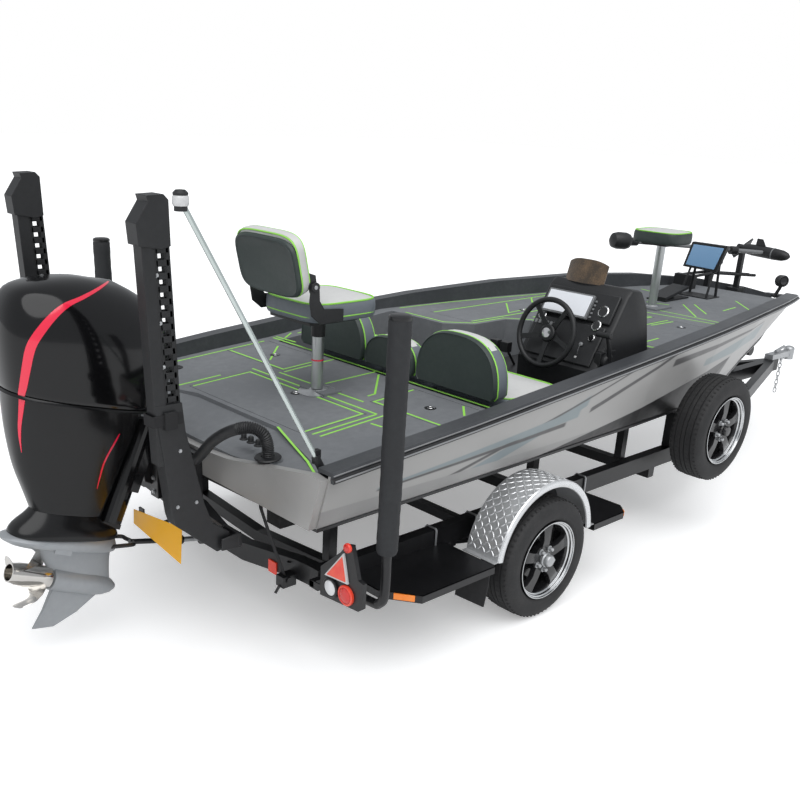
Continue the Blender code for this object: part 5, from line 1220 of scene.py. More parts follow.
def make_fender(side, name):
    """Round guard over a wheel: a thin sheet with a rolled edge, two feet and raised chequers."""
    outer, inner = arc_points(FENDER_R, 6, 174, 48), arc_points(FENDER_R - 0.003, 6, 174, 48)
    made = bmesh.new()
    ribs = [[(x, side * FENDER_INNER, z), (x, side * (FENDER_OUTER - 0.006), z)] for x, z in outer]
    unders = [[(x, side * (FENDER_OUTER - 0.006), z), (x, side * FENDER_INNER, z)] for x, z in inner]
    loft(made, [top + under for top, under in zip(ribs, unders)])
    lip = []
    for i in range(49):
        a = math.radians(6 + 168 * i / 48)
        c, s = math.cos(a), math.sin(a)
        row = []
        for radius, y in ((0, -0.012), (0.0025, -0.004), (-0.002, 0.004), (-0.01, 0.007), (-0.026, 0.007),
                          (-0.034, 0.003), (-0.037, -0.004), (-0.032, -0.001), (-0.026, 0.003), (-0.01, 0.003),
                          (-0.004, -0.012)):
            r = FENDER_R + radius
            row.append((FENDER_CENTRE[0] + r * c, side * (FENDER_OUTER + y), FENDER_CENTRE[1] + r * s))
        lip.append(row)
    loft(made, lip, 1)
    near, far = sorted((side * FENDER_INNER, side * FENDER_OUTER))
    for aft, fore in ((0.966, 0.997), (1.7395, 1.7705)):
        block(made, (aft, near, 0.4055), (fore, far, 0.4085))
    guard = piece("guard_" + name, made, ["chequer_aluminium", "bright_edge"], HULL, 40)
    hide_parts("fender_" + name)
    unit = bmesh.new()
    loft(unit, [[(-tip, 0, z), (-waist, -half, z), (waist, -half, z), (tip, 0, z), (waist, half, z),
                 (-waist, half, z)] for tip, waist, half, z in ((0.0155, 0.006, 0.0042, 0),
            (0.01, 0.005, 0.002, 0.002))])
    places = []
    pitch = 0.029
    for i in range(int(math.pi * FENDER_R * 166 / 180 / pitch)):
        a = math.radians(8) + i * pitch / FENDER_R
        for j in range(7):
            spot = (FENDER_CENTRE[0], side * (FENDER_INNER + 0.014 + pitch * j), FENDER_CENTRE[1])
            turn = Matrix.Rotation(math.radians(45 if (i + j) % 2 else -45), 4, "Z")
            places.append(on_round(spot, a, FENDER_R - 0.0002, -1) @ turn)
    copies("chequer_" + name, unit, places, "bright_edge", size=1.25, slot="fender_" + name)


STEP_TOP, STEP_FOOT, STEP_SHEET = 0.405, 0.366, 0.003
# Mud flap rows: x, inner and outer edge, height of both
FLAP_ROWS = [(0.93, 0.96, 1.14, 0.4, 0.4), (0.922, 0.955, 1.142, 0.3, 0.3), (0.905, 0.955, 1.14, 0.19, 0.2)]


def make_step(side, name):
    """Folded steps before and behind the wheel, with their braces, mud flap, reflectors and rail straps."""
    made = bmesh.new()
    for outline in ([(0.35, 0.8006), (0.35, 0.985), (0.47, 1.145), (0.962, 1.145), (0.962, 0.8006)],
                    [(1.776, 0.8006), (1.776, 1.13), (2.05, 1.13), (2.12, 1.06), (2.12, 0.8006)]):
        plate(made, outline, "xy", 0.401, STEP_TOP)
        for (a, b), (c, d) in zip(outline, outline[1:]):
            run = Vector((c - a, d - b, 0)).normalized()
            inward = Vector((run.y, -run.x, 0)) * STEP_SHEET
            if inward.y > 0 or (abs(inward.y) < 1e-6 and (inward.x > 0) == (a > (outline[0][0] + outline[-1][0])
                    / 2)):
                inward = -inward
            loft(made, [[(x, y, STEP_TOP), (x, y, STEP_FOOT), (x + inward.x, y + inward.y, STEP_FOOT),
                         (x + inward.x, y + inward.y, STEP_TOP)] for x, y in ((a, b), (c, d))])
    for x in (0.42, 0.88, 1.84, 2.0):
        block(made, (x, 0.8, 0.376), (x + 0.04, 1.06, 0.401))
    loft(made, [[(x, inner, low), (x, outer, high), (x + 0.006, outer, high), (x + 0.006, inner, low)] for x,
                inner, outer, low, high in FLAP_ROWS], 1)
    step = piece("step_" + name, on_side(made, side), ["black_steel", "flap_rubber"], HULL, 30)
    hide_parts("steps_" + name)
    for label, finish_name, corners, low in (("amber", "reflector_amber", ((0.392, 1.041), (0.45, 1.1185)),
            0.373), ("amber_fore", "reflector_amber", ((2.062, 1.118), (2.084, 1.096)), 0.372),
            ("white_fore", "lamp_white", ((2.088, 1.092), (2.112, 1.068)), 0.372)):
        made = bmesh.new()
        (a, b), (c, d) = corners
        run = Vector((c - a, d - b, 0)).normalized()
        out = Vector((-run.y, run.x, 0))
        loft(made, [[(a + out.x * k, b + out.y * k, low), (a + out.x * k, b + out.y * k, low + 0.03),
                     (c + out.x * k, d + out.y * k, low + 0.03), (c + out.x * k, d + out.y * k, low)]
                    for k in (0.0, 0.007)])
        piece("reflector_%s_%s" % (label, name), on_side(made, side), finish_name, HULL, 30, 0.0012)
    # Bent straps that hold the bunk posts and the axle's seats to the rail
    made = bmesh.new()
    for x in (0.9, 1.195, 2.13):
        bend = ((0.733, 0.372), (0.733, 0.48), (0.74, 0.49), (0.8, 0.49), (0.8065, 0.483), (0.8065, 0.372))
        tube(made, [(x, y, z) for y, z in bend], 0.0058, 8)
        for y in (0.733, 0.8065):
            rod(made, (x, y, 0.362), (x, y, 0.374), 0.01, 6)
        plate(made, oblong(x - 0.022, 0.722, x + 0.022, 0.818), "xy", 0.374, 0.384)
    piece("rail_straps_" + name, on_side(made, side), "zinc", HULL, 40)


def make_lamp_board(side, name):
    """Board with a warning triangle and three round lamps."""
    made = bmesh.new()
    plate(made, [(0.9, 0.435), (1.148, 0.459), (1.172, 0.479), (1.172, 0.595), (1.139, 0.6), (1.093, 0.742),
                 (1.056, 0.732), (1.027, 0.689), (0.9, 0.573)], "yz", 0.08, 0.1)
    plate(made, [(0.8, 0.43), (0.93, 0.44), (0.93, 0.47), (0.8, 0.46)], "yz", 0.1, 0.106)
    block(made, (0.1, 0.8, 0.43), (0.22, 0.83, 0.46))
    corners = [(1.052, 0.694), (0.936, 0.549), (1.085, 0.563)]
    middle = (sum(c[0] for c in corners) / 3, sum(c[1] for c in corners) / 3)
    plate(made, corners, "yz", 0.071, 0.08, 1)
    small = [(middle[0] + (a - middle[0]) * 0.8, middle[1] + (b - middle[1]) * 0.8) for a, b in corners]
    plate(made, small, "yz", 0.067, 0.072, 2)
    for y, z, radius, ring_slot, lens in ((0.976, 0.502, 0.046, 0, 3), (1.074, 0.506, 0.046, 2, 4),
            (1.074, 0.726, 0.021, 2, 4)):
        rim = [(1, 0.0), (1, 0.01), (0.92, 0.013), (0.8, 0.013), (0.78, 0.006), (0.0, 0.006)]
        glass = [(0.77, 0.005), (0.74, 0.012), (0.45, 0.017), (0.0, 0.018)]
        for profile, paint in ((rim, ring_slot), (glass, lens)):
            turned(made, [(radius * share, along) for share, along in profile], (0.08, y, z), (-1, 0, 0), 32,
                   paint)
    board = piece("lamps_" + name, on_side(made, side),
                  ["black_steel", "lamp_white", "reflector_red", "lamp_clear", "lamp_red"], HULL, 35)
    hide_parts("lamp_board_" + name)


GUIDE_X, GUIDE_Y = 0.2005, 1.1766
SLEEVE_FOOT, SLEEVE_HEAD, SLEEVE_ROWS = 0.7075, 1.685, 60


def make_guide(side, name):
    """Padded sleeve over the guide tube, drawn into slow folds, with a plain cap."""
    rows = []
    for i in range(SLEEVE_ROWS + 1):
        z = SLEEVE_FOOT + (SLEEVE_HEAD - SLEEVE_FOOT) * i / SLEEVE_ROWS
        radius = 0.0455 + 0.0006 * math.sin(i * 1.7) + 0.0005 * math.sin(i * 0.55 + side)
        if i in (0, SLEEVE_ROWS):
            radius = 0.04
        row = []
        for k in range(28):
            a = 2 * math.pi * k / 28
            reach = radius * (1 + 0.012 * math.sin(3 * a + i * 0.21))
            row.append((GUIDE_X + reach * math.cos(a), side * GUIDE_Y + reach * math.sin(a), z))
        rows.append(row)
    made = bmesh.new()
    loft(made, rows)
    turned(made, [(0.0, 0.0), (0.044, 0.0), (0.046, 0.004), (0.045, 0.014), (0.036, 0.019), (0.0, 0.02)],
           (GUIDE_X, side * GUIDE_Y, 1.676), (0, 0, 1), 28, 1)
    bend = ((GUIDE_Y, 0.72), (GUIDE_Y, 0.52), (1.15, 0.462), (1.09, 0.445), (0.798, 0.44))
    tube(made, curve_through([(GUIDE_X, side * y, z) for y, z in bend], 8), 0.0215, 14, 1)
    guide = piece("guide_" + name, made, ["sleeve_cloth", "black_steel"], HULL, 50)
    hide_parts("guide_pole_" + name)


class BOAT_OT_running_gear(bpy.types.Operator):
    """Wheels, chequered guards, steps, lamp boards and padded guides of the trailer, on both sides"""

    bl_idname = "boat.running_gear"
    bl_label = "Running gear"

    def execute(self, context):
        for entry in WHEELS:
            make_wheel(*entry)
        for side, name in ((1, "port"), (-1, "starboard")):
            make_fender(side, name)
            make_step(side, name)
            make_lamp_board(side, name)
            make_guide(side, name)
        return {"FINISHED"}


# Seats and helm


def pad_rows(half_x, half_y, height, crown, power, count=48):
    """Rows of a stuffed cushion: tucked under at its foot, full at the sides and crowned on top."""
    rows = []
    for scale, z in ((0.9, 0.0), (0.965, 0.04), (0.99, 0.14), (1.0, 0.35), (1.0, 0.62), (0.992, 0.84),
                     (0.975, 0.95), (0.962, 0.985), (0.95, 0.985), (0.925, 1.02), (0.85, 1.0), (0.72, 1.0),
                     (0.55, 1.0), (0.36, 1.0), (0.15, 1.0)):
        lift = height * min(z, 1.0)
        if scale < 0.925 and z >= 1.0:
            lift = height + crown * (1 - (scale / 0.95) ** 2)
        row = []
        for k in range(count):
            a = 2 * math.pi * (k + 0.5) / count
            c, s = math.cos(a), math.sin(a)
            pull = 1 - 0.012 * math.cos(2 * a) ** 2 if scale > 0.9 else 1
            row.append((half_x * scale * pull * squared(c, power), half_y * scale * pull * squared(s, power),
                        lift))
        rows.append(row)
    return rows


def cushion(made, place, half_x, half_y, height, crown, power, top_slot):
    """A stuffed cushion, its top in a slot of its own."""
    rows = [[place @ Vector(p) for p in row] for row in pad_rows(half_x, half_y, height, crown, power)]
    loft(made, rows[:9], 0, caps=False)
    loft(made, rows[8:], top_slot, caps=False)
    for row, slot in ((rows[0], 0), (rows[-1], top_slot)):
        face = made.faces.new([made.verts.new(p) for p in row])
        face.material_index = slot


def stuffed(name, place, size, crown, power, finishes, body, top_slot=1):
    """A cushion as a padded piece; size is its two half widths and its height."""
    made = bmesh.new()
    cushion(made, place, *size, crown, power, top_slot)
    pad = piece(name, made, finishes, body, 50)


def piping(made, place, half_x, half_y, height, power, radius=0.0045):
    """A cord sewn round a cushion at one height."""
    points = []
    for k in range(48):
        a = 2 * math.pi * (k + 0.5) / 48
        points.append(place @ Vector((half_x * squared(math.cos(a), power), half_y
                * squared(math.sin(a), power), height)))
    tube(made, points, radius, 6, closed=True)


def shell_outline(half, low, high, power=2.6, steps=26, foot=0.94):
    """Half-moon outline across the boat: flat foot, sides rising into a full round top."""
    points = [(half * foot, low)]
    for i in range(steps + 1):
        a = math.pi * i / steps
        rise = abs(math.sin(a)) ** (2 / power)
        points.append((half * squared(math.cos(a), power), low + 0.02 + (high - low - 0.02) * rise))
    points.append((-half * foot, low))
    return points


# The bench's seats: middle, half width of the back, its foot and head, half width of the cushion
BENCH = [("driver", -0.58, 0.272, 1.104, 1.392, 0.268), ("port", 0.38, 0.272, 1.104, 1.392, 0.268),
         ("centre", -0.1, 0.19, 1.106, 1.28, 0.205)]
BACK_AFT, BACK_FORE = 1.182, 1.3


def make_seat_back(name, middle, half, low, high):
    """A bench back: dark shell aft, grey pad with a white top, lime piping round its front edge."""
    place = Matrix.Translation((BACK_AFT, middle, low))
    depth, height = BACK_FORE - BACK_AFT, high - low
    node = name + "_seat_back"

    def rows(entries, slot, white_above=None):
        made_rows = []
        for x, scale, drop in entries:
            outline = shell_outline(half * scale, 0.0, height - drop)
            made_rows.append([place @ Vector((x, y, z)) for y, z in outline])
        loft(made, made_rows, slot)
        if white_above is not None:
            for face in made.faces:
                if face.material_index == slot and all((place.inverted() @ v.co).z > white_above
                        for v in face.verts):
                    face.material_index = 2

    made = bmesh.new()
    rows([(0.004, 0.955, 0.012), (0.0, 0.965, 0.01), (0.0, 0.975, 0.008), (0.008, 0.992, 0.003),
          (0.024, 1.0, 0.0), (0.03, 0.985, 0.005)], 0)
    piece("shell_" + name, made, "vinyl_dark", node, 40)
    made = bmesh.new()
    rows([(0.028, 0.955, 0.016), (0.03, 0.985, 0.006), (0.04, 0.998, 0.001), (depth * 0.7, 0.998, 0.001),
          (depth * 0.88, 0.98, 0.008), (depth * 0.93, 0.96, 0.016), (depth * 0.935, 0.94, 0.02),
          (depth * 0.985, 0.86, 0.035), (depth, 0.6, 0.08)], 1, height * 0.8)
    pad = piece("pad_" + name, made, ["vinyl_dark", "vinyl_grey", "vinyl_white"], node, 50)
    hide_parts(node)
    made = bmesh.new()
    for x, scale, drop in ((depth * 0.93, 0.955, 0.014), (0.029, 0.996, 0.002)):
        points = [place @ Vector((x, y, z)) for y, z in shell_outline(half * scale, 0.0, height - drop)]
        tube(made, points, 0.0042, 6)
    piece("piping_" + name, made, "lime_inlay", node, 60)


def make_stern_back():
    """Back of the stern seat: a dark shell leaning aft, a white pad in front of it and its two pivots."""
    lean = Matrix.Translation((0.507, -0.04, 1.578)) @ Matrix.Rotation(math.radians(-13), 4, "Y")

    def outline(half, low, high, power=4.5):
        mid, tall = (low + high) / 2, (high - low) / 2
        return [(half * squared(math.cos(a), power), mid + tall * squared(math.sin(a), power))
                for a in (2 * math.pi * (k + 0.5) / 48 for k in range(48))]

    made = bmesh.new()
    loft(made, [[lean @ Vector((x, y, z)) for y, z in outline(half, low, high)] for x, half, low, high in (
        (-0.06, 0.212, 0.022, 0.262), (-0.066, 0.222, 0.012, 0.272), (-0.062, 0.231, 0.004, 0.28),
        (-0.048, 0.236, 0.0, 0.284),
        (-0.04, 0.232, 0.004, 0.28))])
    shell = piece("shell_stern", made, "vinyl_dark", "rear_seat_back", 40)
    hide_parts("rear_seat_back")
    made = bmesh.new()
    loft(made, [[lean @ Vector((x, y, z)) for y, z in outline(half, low, high)] for x, half, low, high in (
        (-0.042, 0.222, 0.016, 0.284), (-0.036, 0.236, 0.004, 0.3), (-0.024, 0.238, 0.0, 0.304),
        (0.0, 0.236, 0.004, 0.302),
        (0.006, 0.228, 0.012, 0.294), (0.008, 0.218, 0.022, 0.286), (0.013, 0.19, 0.05, 0.258),
        (0.017, 0.12, 0.1, 0.2),
        (0.018, 0.04, 0.14, 0.16))], 0)
    pad = piece("pad_stern", made, "vinyl_white", "rear_seat_back", 50)
    made = bmesh.new()
    for x, half, low, high in ((-0.041, 0.2355, 0.001, 0.296), (0.004, 0.232, 0.008, 0.298)):
        tube(made, [lean @ Vector((x, y, z)) for y, z in outline(half, low, high)], 0.004, 6, 0, closed=True)
    piece("piping_stern", made, "lime_inlay", "rear_seat_back", 60)
    made = bmesh.new()
    for y in (-0.267, 0.187):
        plate(made, [(0.5, 1.6), (0.545, 1.6), (0.53, 1.68), (0.47, 1.7)], "xz", y - 0.004, y + 0.004)
        block(made, (0.45, min(y, y * 0.86), 1.64), (0.5, max(y, y * 0.86), 1.69))
    piece("stern_back_hinges", made, "moulded_black", "rear_seat_back", 40, 0.001)


STERN_POST, BOW_POST = (0.736, -0.05), (3.86, -0.02)


class BOAT_OT_seating(bpy.types.Operator):
    """Bench with its three folding backs, the two pedestal seats, their posts and hinges"""

    bl_idname = "boat.seating"
    bl_label = "Seats"

    def execute(self, context):
        for name, middle, half, low, high, _ in BENCH:
            make_seat_back(name, middle, half, low, high)
        made = bmesh.new()
        block(made, (1.176, -0.85, 0.8506), (1.72, 0.65, 1.0))
        base = piece("bench_base", made, "vinyl_dark", HULL, 30, 0.01)
        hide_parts("seat_bench")
        for name, middle, *_, half in BENCH:
            place = Matrix.Translation((1.535, middle, 0.998))
            stuffed("cushion_" + name, place, (0.232, half, 0.088), 0.022, 6.0, ["vinyl_grey", "vinyl_white"],
                    HULL, 0 if name == "centre" else 1)
            made = bmesh.new()
            piping(made, place, 0.232 * 0.955, half * 0.955, 0.0885, 6.0)
            piece("cushion_piping_" + name, made, "lime_inlay", HULL, 60)

        # Stern pedestal seat
        made = bmesh.new()
        for low, high, radius, slot in ((1.058, 1.42, 0.03, 0), (1.33, 1.42, 0.036, 2),
                (1.205, 1.212, 0.0312, 3)):
            rod(made, (*STERN_POST, low), (*STERN_POST, high), radius, 24, slot)
        socket = bmesh.new()
        turned(socket, [(0.098, 0.0), (0.098, 0.004), (0.05, 0.009), (0.036, 0.014), (0.0, 0.014)],
               (*STERN_POST, 1.0412), (-0.062, 0, 1), 36)
        piece("stern_socket", socket, "zinc", HULL, 40)
        piece("stern_post", made, ["brushed_post", "zinc", "moulded_black", "stripe_red"], "rear_seat", 40)
        made = bmesh.new()
        block(made, (0.56, -0.2, 1.425), (0.86, 0.12, 1.44), 1)
        for y in (-0.276, 0.196):
            plate(made, [(0.7, 1.452), (0.56, 1.448), (0.505, 1.492), (0.492, 1.56), (0.5, 1.64),
                         (0.522, 1.652), (0.546, 1.64), (0.552, 1.56), (0.58, 1.52), (0.7, 1.51)], "xz", y
                  - 0.004, y + 0.004, 1)
            rod(made, (0.522, y - 0.009, 1.626), (0.522, y + 0.009, 1.626), 0.024, 24, 1)
            rod(made, (0.522, y - 0.011, 1.626), (0.522, y + 0.011, 1.626), 0.01, 12, 0)
        frame_piece = piece("stern_seat_frame", made, ["zinc", "moulded_black"], "rear_seat", 40, 0.001)
        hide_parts("rear_seat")
        place = Matrix.Translation((0.755, -0.04, 1.441))
        stuffed("stern_cushion", place, (0.225, 0.228, 0.092), 0.026, 4.5, ["vinyl_grey", "vinyl_white"],
                "rear_seat")
        made = bmesh.new()
        piping(made, place, 0.225 * 0.953, 0.228 * 0.953, 0.093, 4.5)
        piping(made, place, 0.225 * 0.985, 0.228 * 0.985, 0.028, 4.5, 0.003)
        piece("stern_cushion_piping", made, "lime_inlay", "rear_seat", 60)
        make_stern_back()

        # Bow pedestal seat
        made = bmesh.new()
        rod(made, (*BOW_POST, 1.156), (*BOW_POST, 1.6), 0.03, 24)
        turned(made, [(0.09, 0.0), (0.09, 0.004), (0.045, 0.009), (0.033, 0.02), (0.03, 0.02)],
               (*BOW_POST, 1.1556), (0, 0, 1), 36, 1)
        block(made, (3.76, -0.12, 1.598), (3.96, 0.08, 1.612), 2)
        seat = piece("bow_post", made, ["brushed_post", "zinc", "moulded_black"], "bow_seat", 40)
        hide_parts("bow_seat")
        place = Matrix.Translation((*BOW_POST, 1.612))
        stuffed("bow_cushion", place, (0.15, 0.178, 0.078), 0.016, 4.0, ["vinyl_dark", "vinyl_white"],
                "bow_seat")
        made = bmesh.new()
        piping(made, place, 0.15 * 0.953, 0.178 * 0.953, 0.079, 4.0, 0.004)
        piece("bow_cushion_piping", made, "lime_inlay", "bow_seat", 60)
        return {"FINISHED"}


DASH_FOOT, DASH_HEAD = Vector((2.02, 0, 1.12)), Vector((2.255, 0, 1.52))
DASH_OUT = Vector((-0.862, 0, 0.506))


def on_dash(y, up, off=0.0):
    """A place on the sloping dash: across the boat, share up the slope, and height off it."""
    spot = DASH_FOOT.lerp(DASH_HEAD, up)
    return Vector((spot.x, y, spot.z)) + DASH_OUT * off


def dash_box(made, y0, y1, up0, up1, off0, off1, slot=0):
    loft(made, [[on_dash(y0, up0, off), on_dash(y1, up0, off), on_dash(y1, up1, off), on_dash(y0, up1, off)]
                for off in (off0, off1)], slot)


class BOAT_OT_helm(bpy.types.Operator):
    """Console with its display, gauges, throttle and screen, and the helm wheel"""

    bl_idname = "boat.helm"
    bl_label = "Helm"

    def execute(self, context):
        made = bmesh.new()
        outline = [(2.04, 0.8506), (2.03, 1.12), (2.262, 1.516), (2.3, 1.545), (2.39, 1.532), (2.462, 1.44),
                   (2.525, 1.22), (2.548, 1.161), (2.695, 1.16), (2.695, 0.8506)]
        rows = []
        for y, inset in ((-0.832, 0.03), (-0.826, 0.01), (-0.806, 0.0), (-0.324, 0.0), (-0.304, 0.01),
                         (-0.298, 0.03)):
            rows.append([(2.38 + (x - 2.38) * (1 - inset), y, 0.8506 + (z - 0.8506) * (1 - inset)) for x,
                         z in outline])
        loft(made, rows)
        block(made, (2.0, -0.3, 0.8506), (2.56, 0.05, 0.985))
        dash_box(made, -0.8, -0.33, 0.6, 0.96, -0.004, 0.012)
        dash_box(made, -0.79, -0.34, 0.06, 0.56, -0.004, 0.008)
        body = piece("console_shell", made, "moulded_black", HULL, 30, 0.008)
        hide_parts("console")
        made = bmesh.new()
        dash_box(made, -0.655, -0.35, 0.6, 0.9, 0.01, 0.03)
        dash_box(made, -0.645, -0.36, 0.62, 0.88, 0.028, 0.033, 1)
        for i in range(5):
            dash_box(made, -0.675, -0.662, 0.63 + 0.05 * i, 0.655 + 0.05 * i, 0.01, 0.018)
        piece("display", made, ["bezel_grey", "screen_white"], HULL, 30, 0.002)
        made = bmesh.new()
        for y, up, radius in ((-0.735, 0.74, 0.034), (-0.73, 0.56, 0.03), (-0.366, 0.55, 0.026),
                (-0.735, 0.4, 0.02)):
            spot = on_dash(y, up, 0.008)
            turned(made, [(radius, 0.0), (radius, 0.007), (radius * 0.86, 0.01), (radius * 0.84, 0.006),
                          (0.0, 0.006)], spot, DASH_OUT, 28)
            turned(made, [(radius * 0.8, 0.0), (radius * 0.8, 0.0072), (0.0, 0.0072)], spot, DASH_OUT, 28, 1)
        piece("gauges", made, ["chrome", "dial_face"], HULL, 35)
        made = bmesh.new()
        key = on_dash(-0.69, 0.3, 0.01)
        turned(made, [(0.012, 0.0), (0.012, 0.008), (0.006, 0.012), (0.0, 0.012)], key, DASH_OUT, 16, 1)
        tube(made, curve_through([key + Vector((-0.012, 0, 0.0)), key + Vector((-0.026, 0, -0.03)), key
                + Vector((-0.024, 0.004, -0.06))], 5), 0.0015, 6, 1)
        turned(made, [(0.0, 0.0), (0.011, 0.006), (0.013, 0.03), (0.011, 0.056), (0.0, 0.06)], key
               + Vector((-0.028, 0.004, -0.118)), (0, 0, 1), 16)
        for i in range(6):
            dash_box(made, -0.48 + 0.026 * i, -0.464 + 0.026 * i, 0.44, 0.49, 0.006, 0.016, 1)
        piece("key_and_switches", made, ["vinyl_white", "bezel_grey"], HULL, 35, 0.001)
        made = bmesh.new()
        block(made, (2.06, -0.838, 1.1), (2.2, -0.8, 1.23))
        turned(made, [(0.044, 0.0), (0.044, 0.02), (0.034, 0.03), (0.0, 0.032)], (2.11, -0.836, 1.18),
               (0, -1, 0), 28)
        tube(made, [(2.11, -0.862, 1.18), (2.09, -0.866, 1.25), (2.06, -0.866, 1.32)], [0.014, 0.012, 0.01], 12)
        rod(made, (2.056, -0.89, 1.33), (2.056, -0.8, 1.33), 0.016, 16)
        for y in (-0.12, -0.04):
            tube(made, [(2.24, y, 0.985), (2.18, y, 1.06), (2.15, y, 1.1)], 0.008, 8)
            block(made, (2.12, y - 0.028, 1.08), (2.165, y + 0.028, 1.14))
        piece("throttle_and_pedals", made, "moulded_black", HULL, 35, 0.003)

        made = bmesh.new()
        centre, axis = Vector((2.008, -0.5, 1.284)), Vector((-0.98, 0, 0.2)).normalized()
        ring(made, 0.182, 0.015, centre, axis, 56, 12)
        for i in range(5):
            a = 2 * math.pi * i / 5 + 0.3
            across = Vector((0, 1, 0))
            up = axis.cross(across)
            reach = across * math.cos(a) + up * math.sin(a)
            side = axis.cross(reach)
            loft(made, [[centre + reach * r - axis * (d + t) + side * w for w,
                         t in oblong(-half, -0.004, half, 0.004)] for r, d,
                        half in ((0.03, 0.026, 0.02), (0.1, 0.016, 0.012), (0.176, 0.0, 0.016))])
        turned(made, [(0.0, -0.06), (0.03, -0.06), (0.03, -0.034), (0.046, -0.03), (0.048, -0.012),
                      (0.042, -0.006), (0.0, -0.004)], centre, axis, 32)
        turned(made, [(0.0, -0.006), (0.028, -0.006), (0.027, 0.0), (0.0, 0.002)], centre, axis, 32, 1)
        wheel = piece("helm_ring", made, ["moulded_black", "chrome"], "helm_wheel", 40)
        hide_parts("helm_wheel")

        rows = []
        for i in range(13):
            y = -0.635 + 0.26 * i / 12
            bow_out = 0.03 * (1 - ((y + 0.505) / 0.13) ** 2)
            low, high = 1.538, 1.64 + 0.028 * (1 - abs((y + 0.505) / 0.13) ** 3)
            rows.append([(2.3 - bow_out + dx + lean, y, z) for dx, z,
                         lean in ((0, low, 0), (0, high, 0.03), (0.005, high, 0.03), (0.005, low, 0))])
        made = bmesh.new()
        loft(made, rows)
        screen = piece("screen", made, "bronze_screen", HULL, 40)
        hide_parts("windscreen")
        return {"FINISHED"}


# Fittings of the hull, the transom and the bow

GUNWALE = [
    # x, half beam, height of the gunwale's edge
    (0.0, 1.04, 1.062), (0.8, 1.062, 1.13), (1.6, 1.055, 1.192), (2.4, 1.018, 1.238), (3.2, 0.938, 1.266),
    (4.0, 0.8, 1.272),
    (4.6, 0.65, 1.25), (5.2, 0.44, 1.195), (5.6, 0.26, 1.125), (5.85, 0.13, 1.06),
]
LATCHES = [("lid_rear_port", 0.98, 0.63), ("lid_rear_starboard", 0.98, -0.63), ("lid_rear_centre", 0.64, 0.0),
           ("lid_front_centre", 3.47, 0.0), ("lid_front_starboard", 3.42, -0.52),
           ("lid_rod_locker", 2.95, 0.41)]


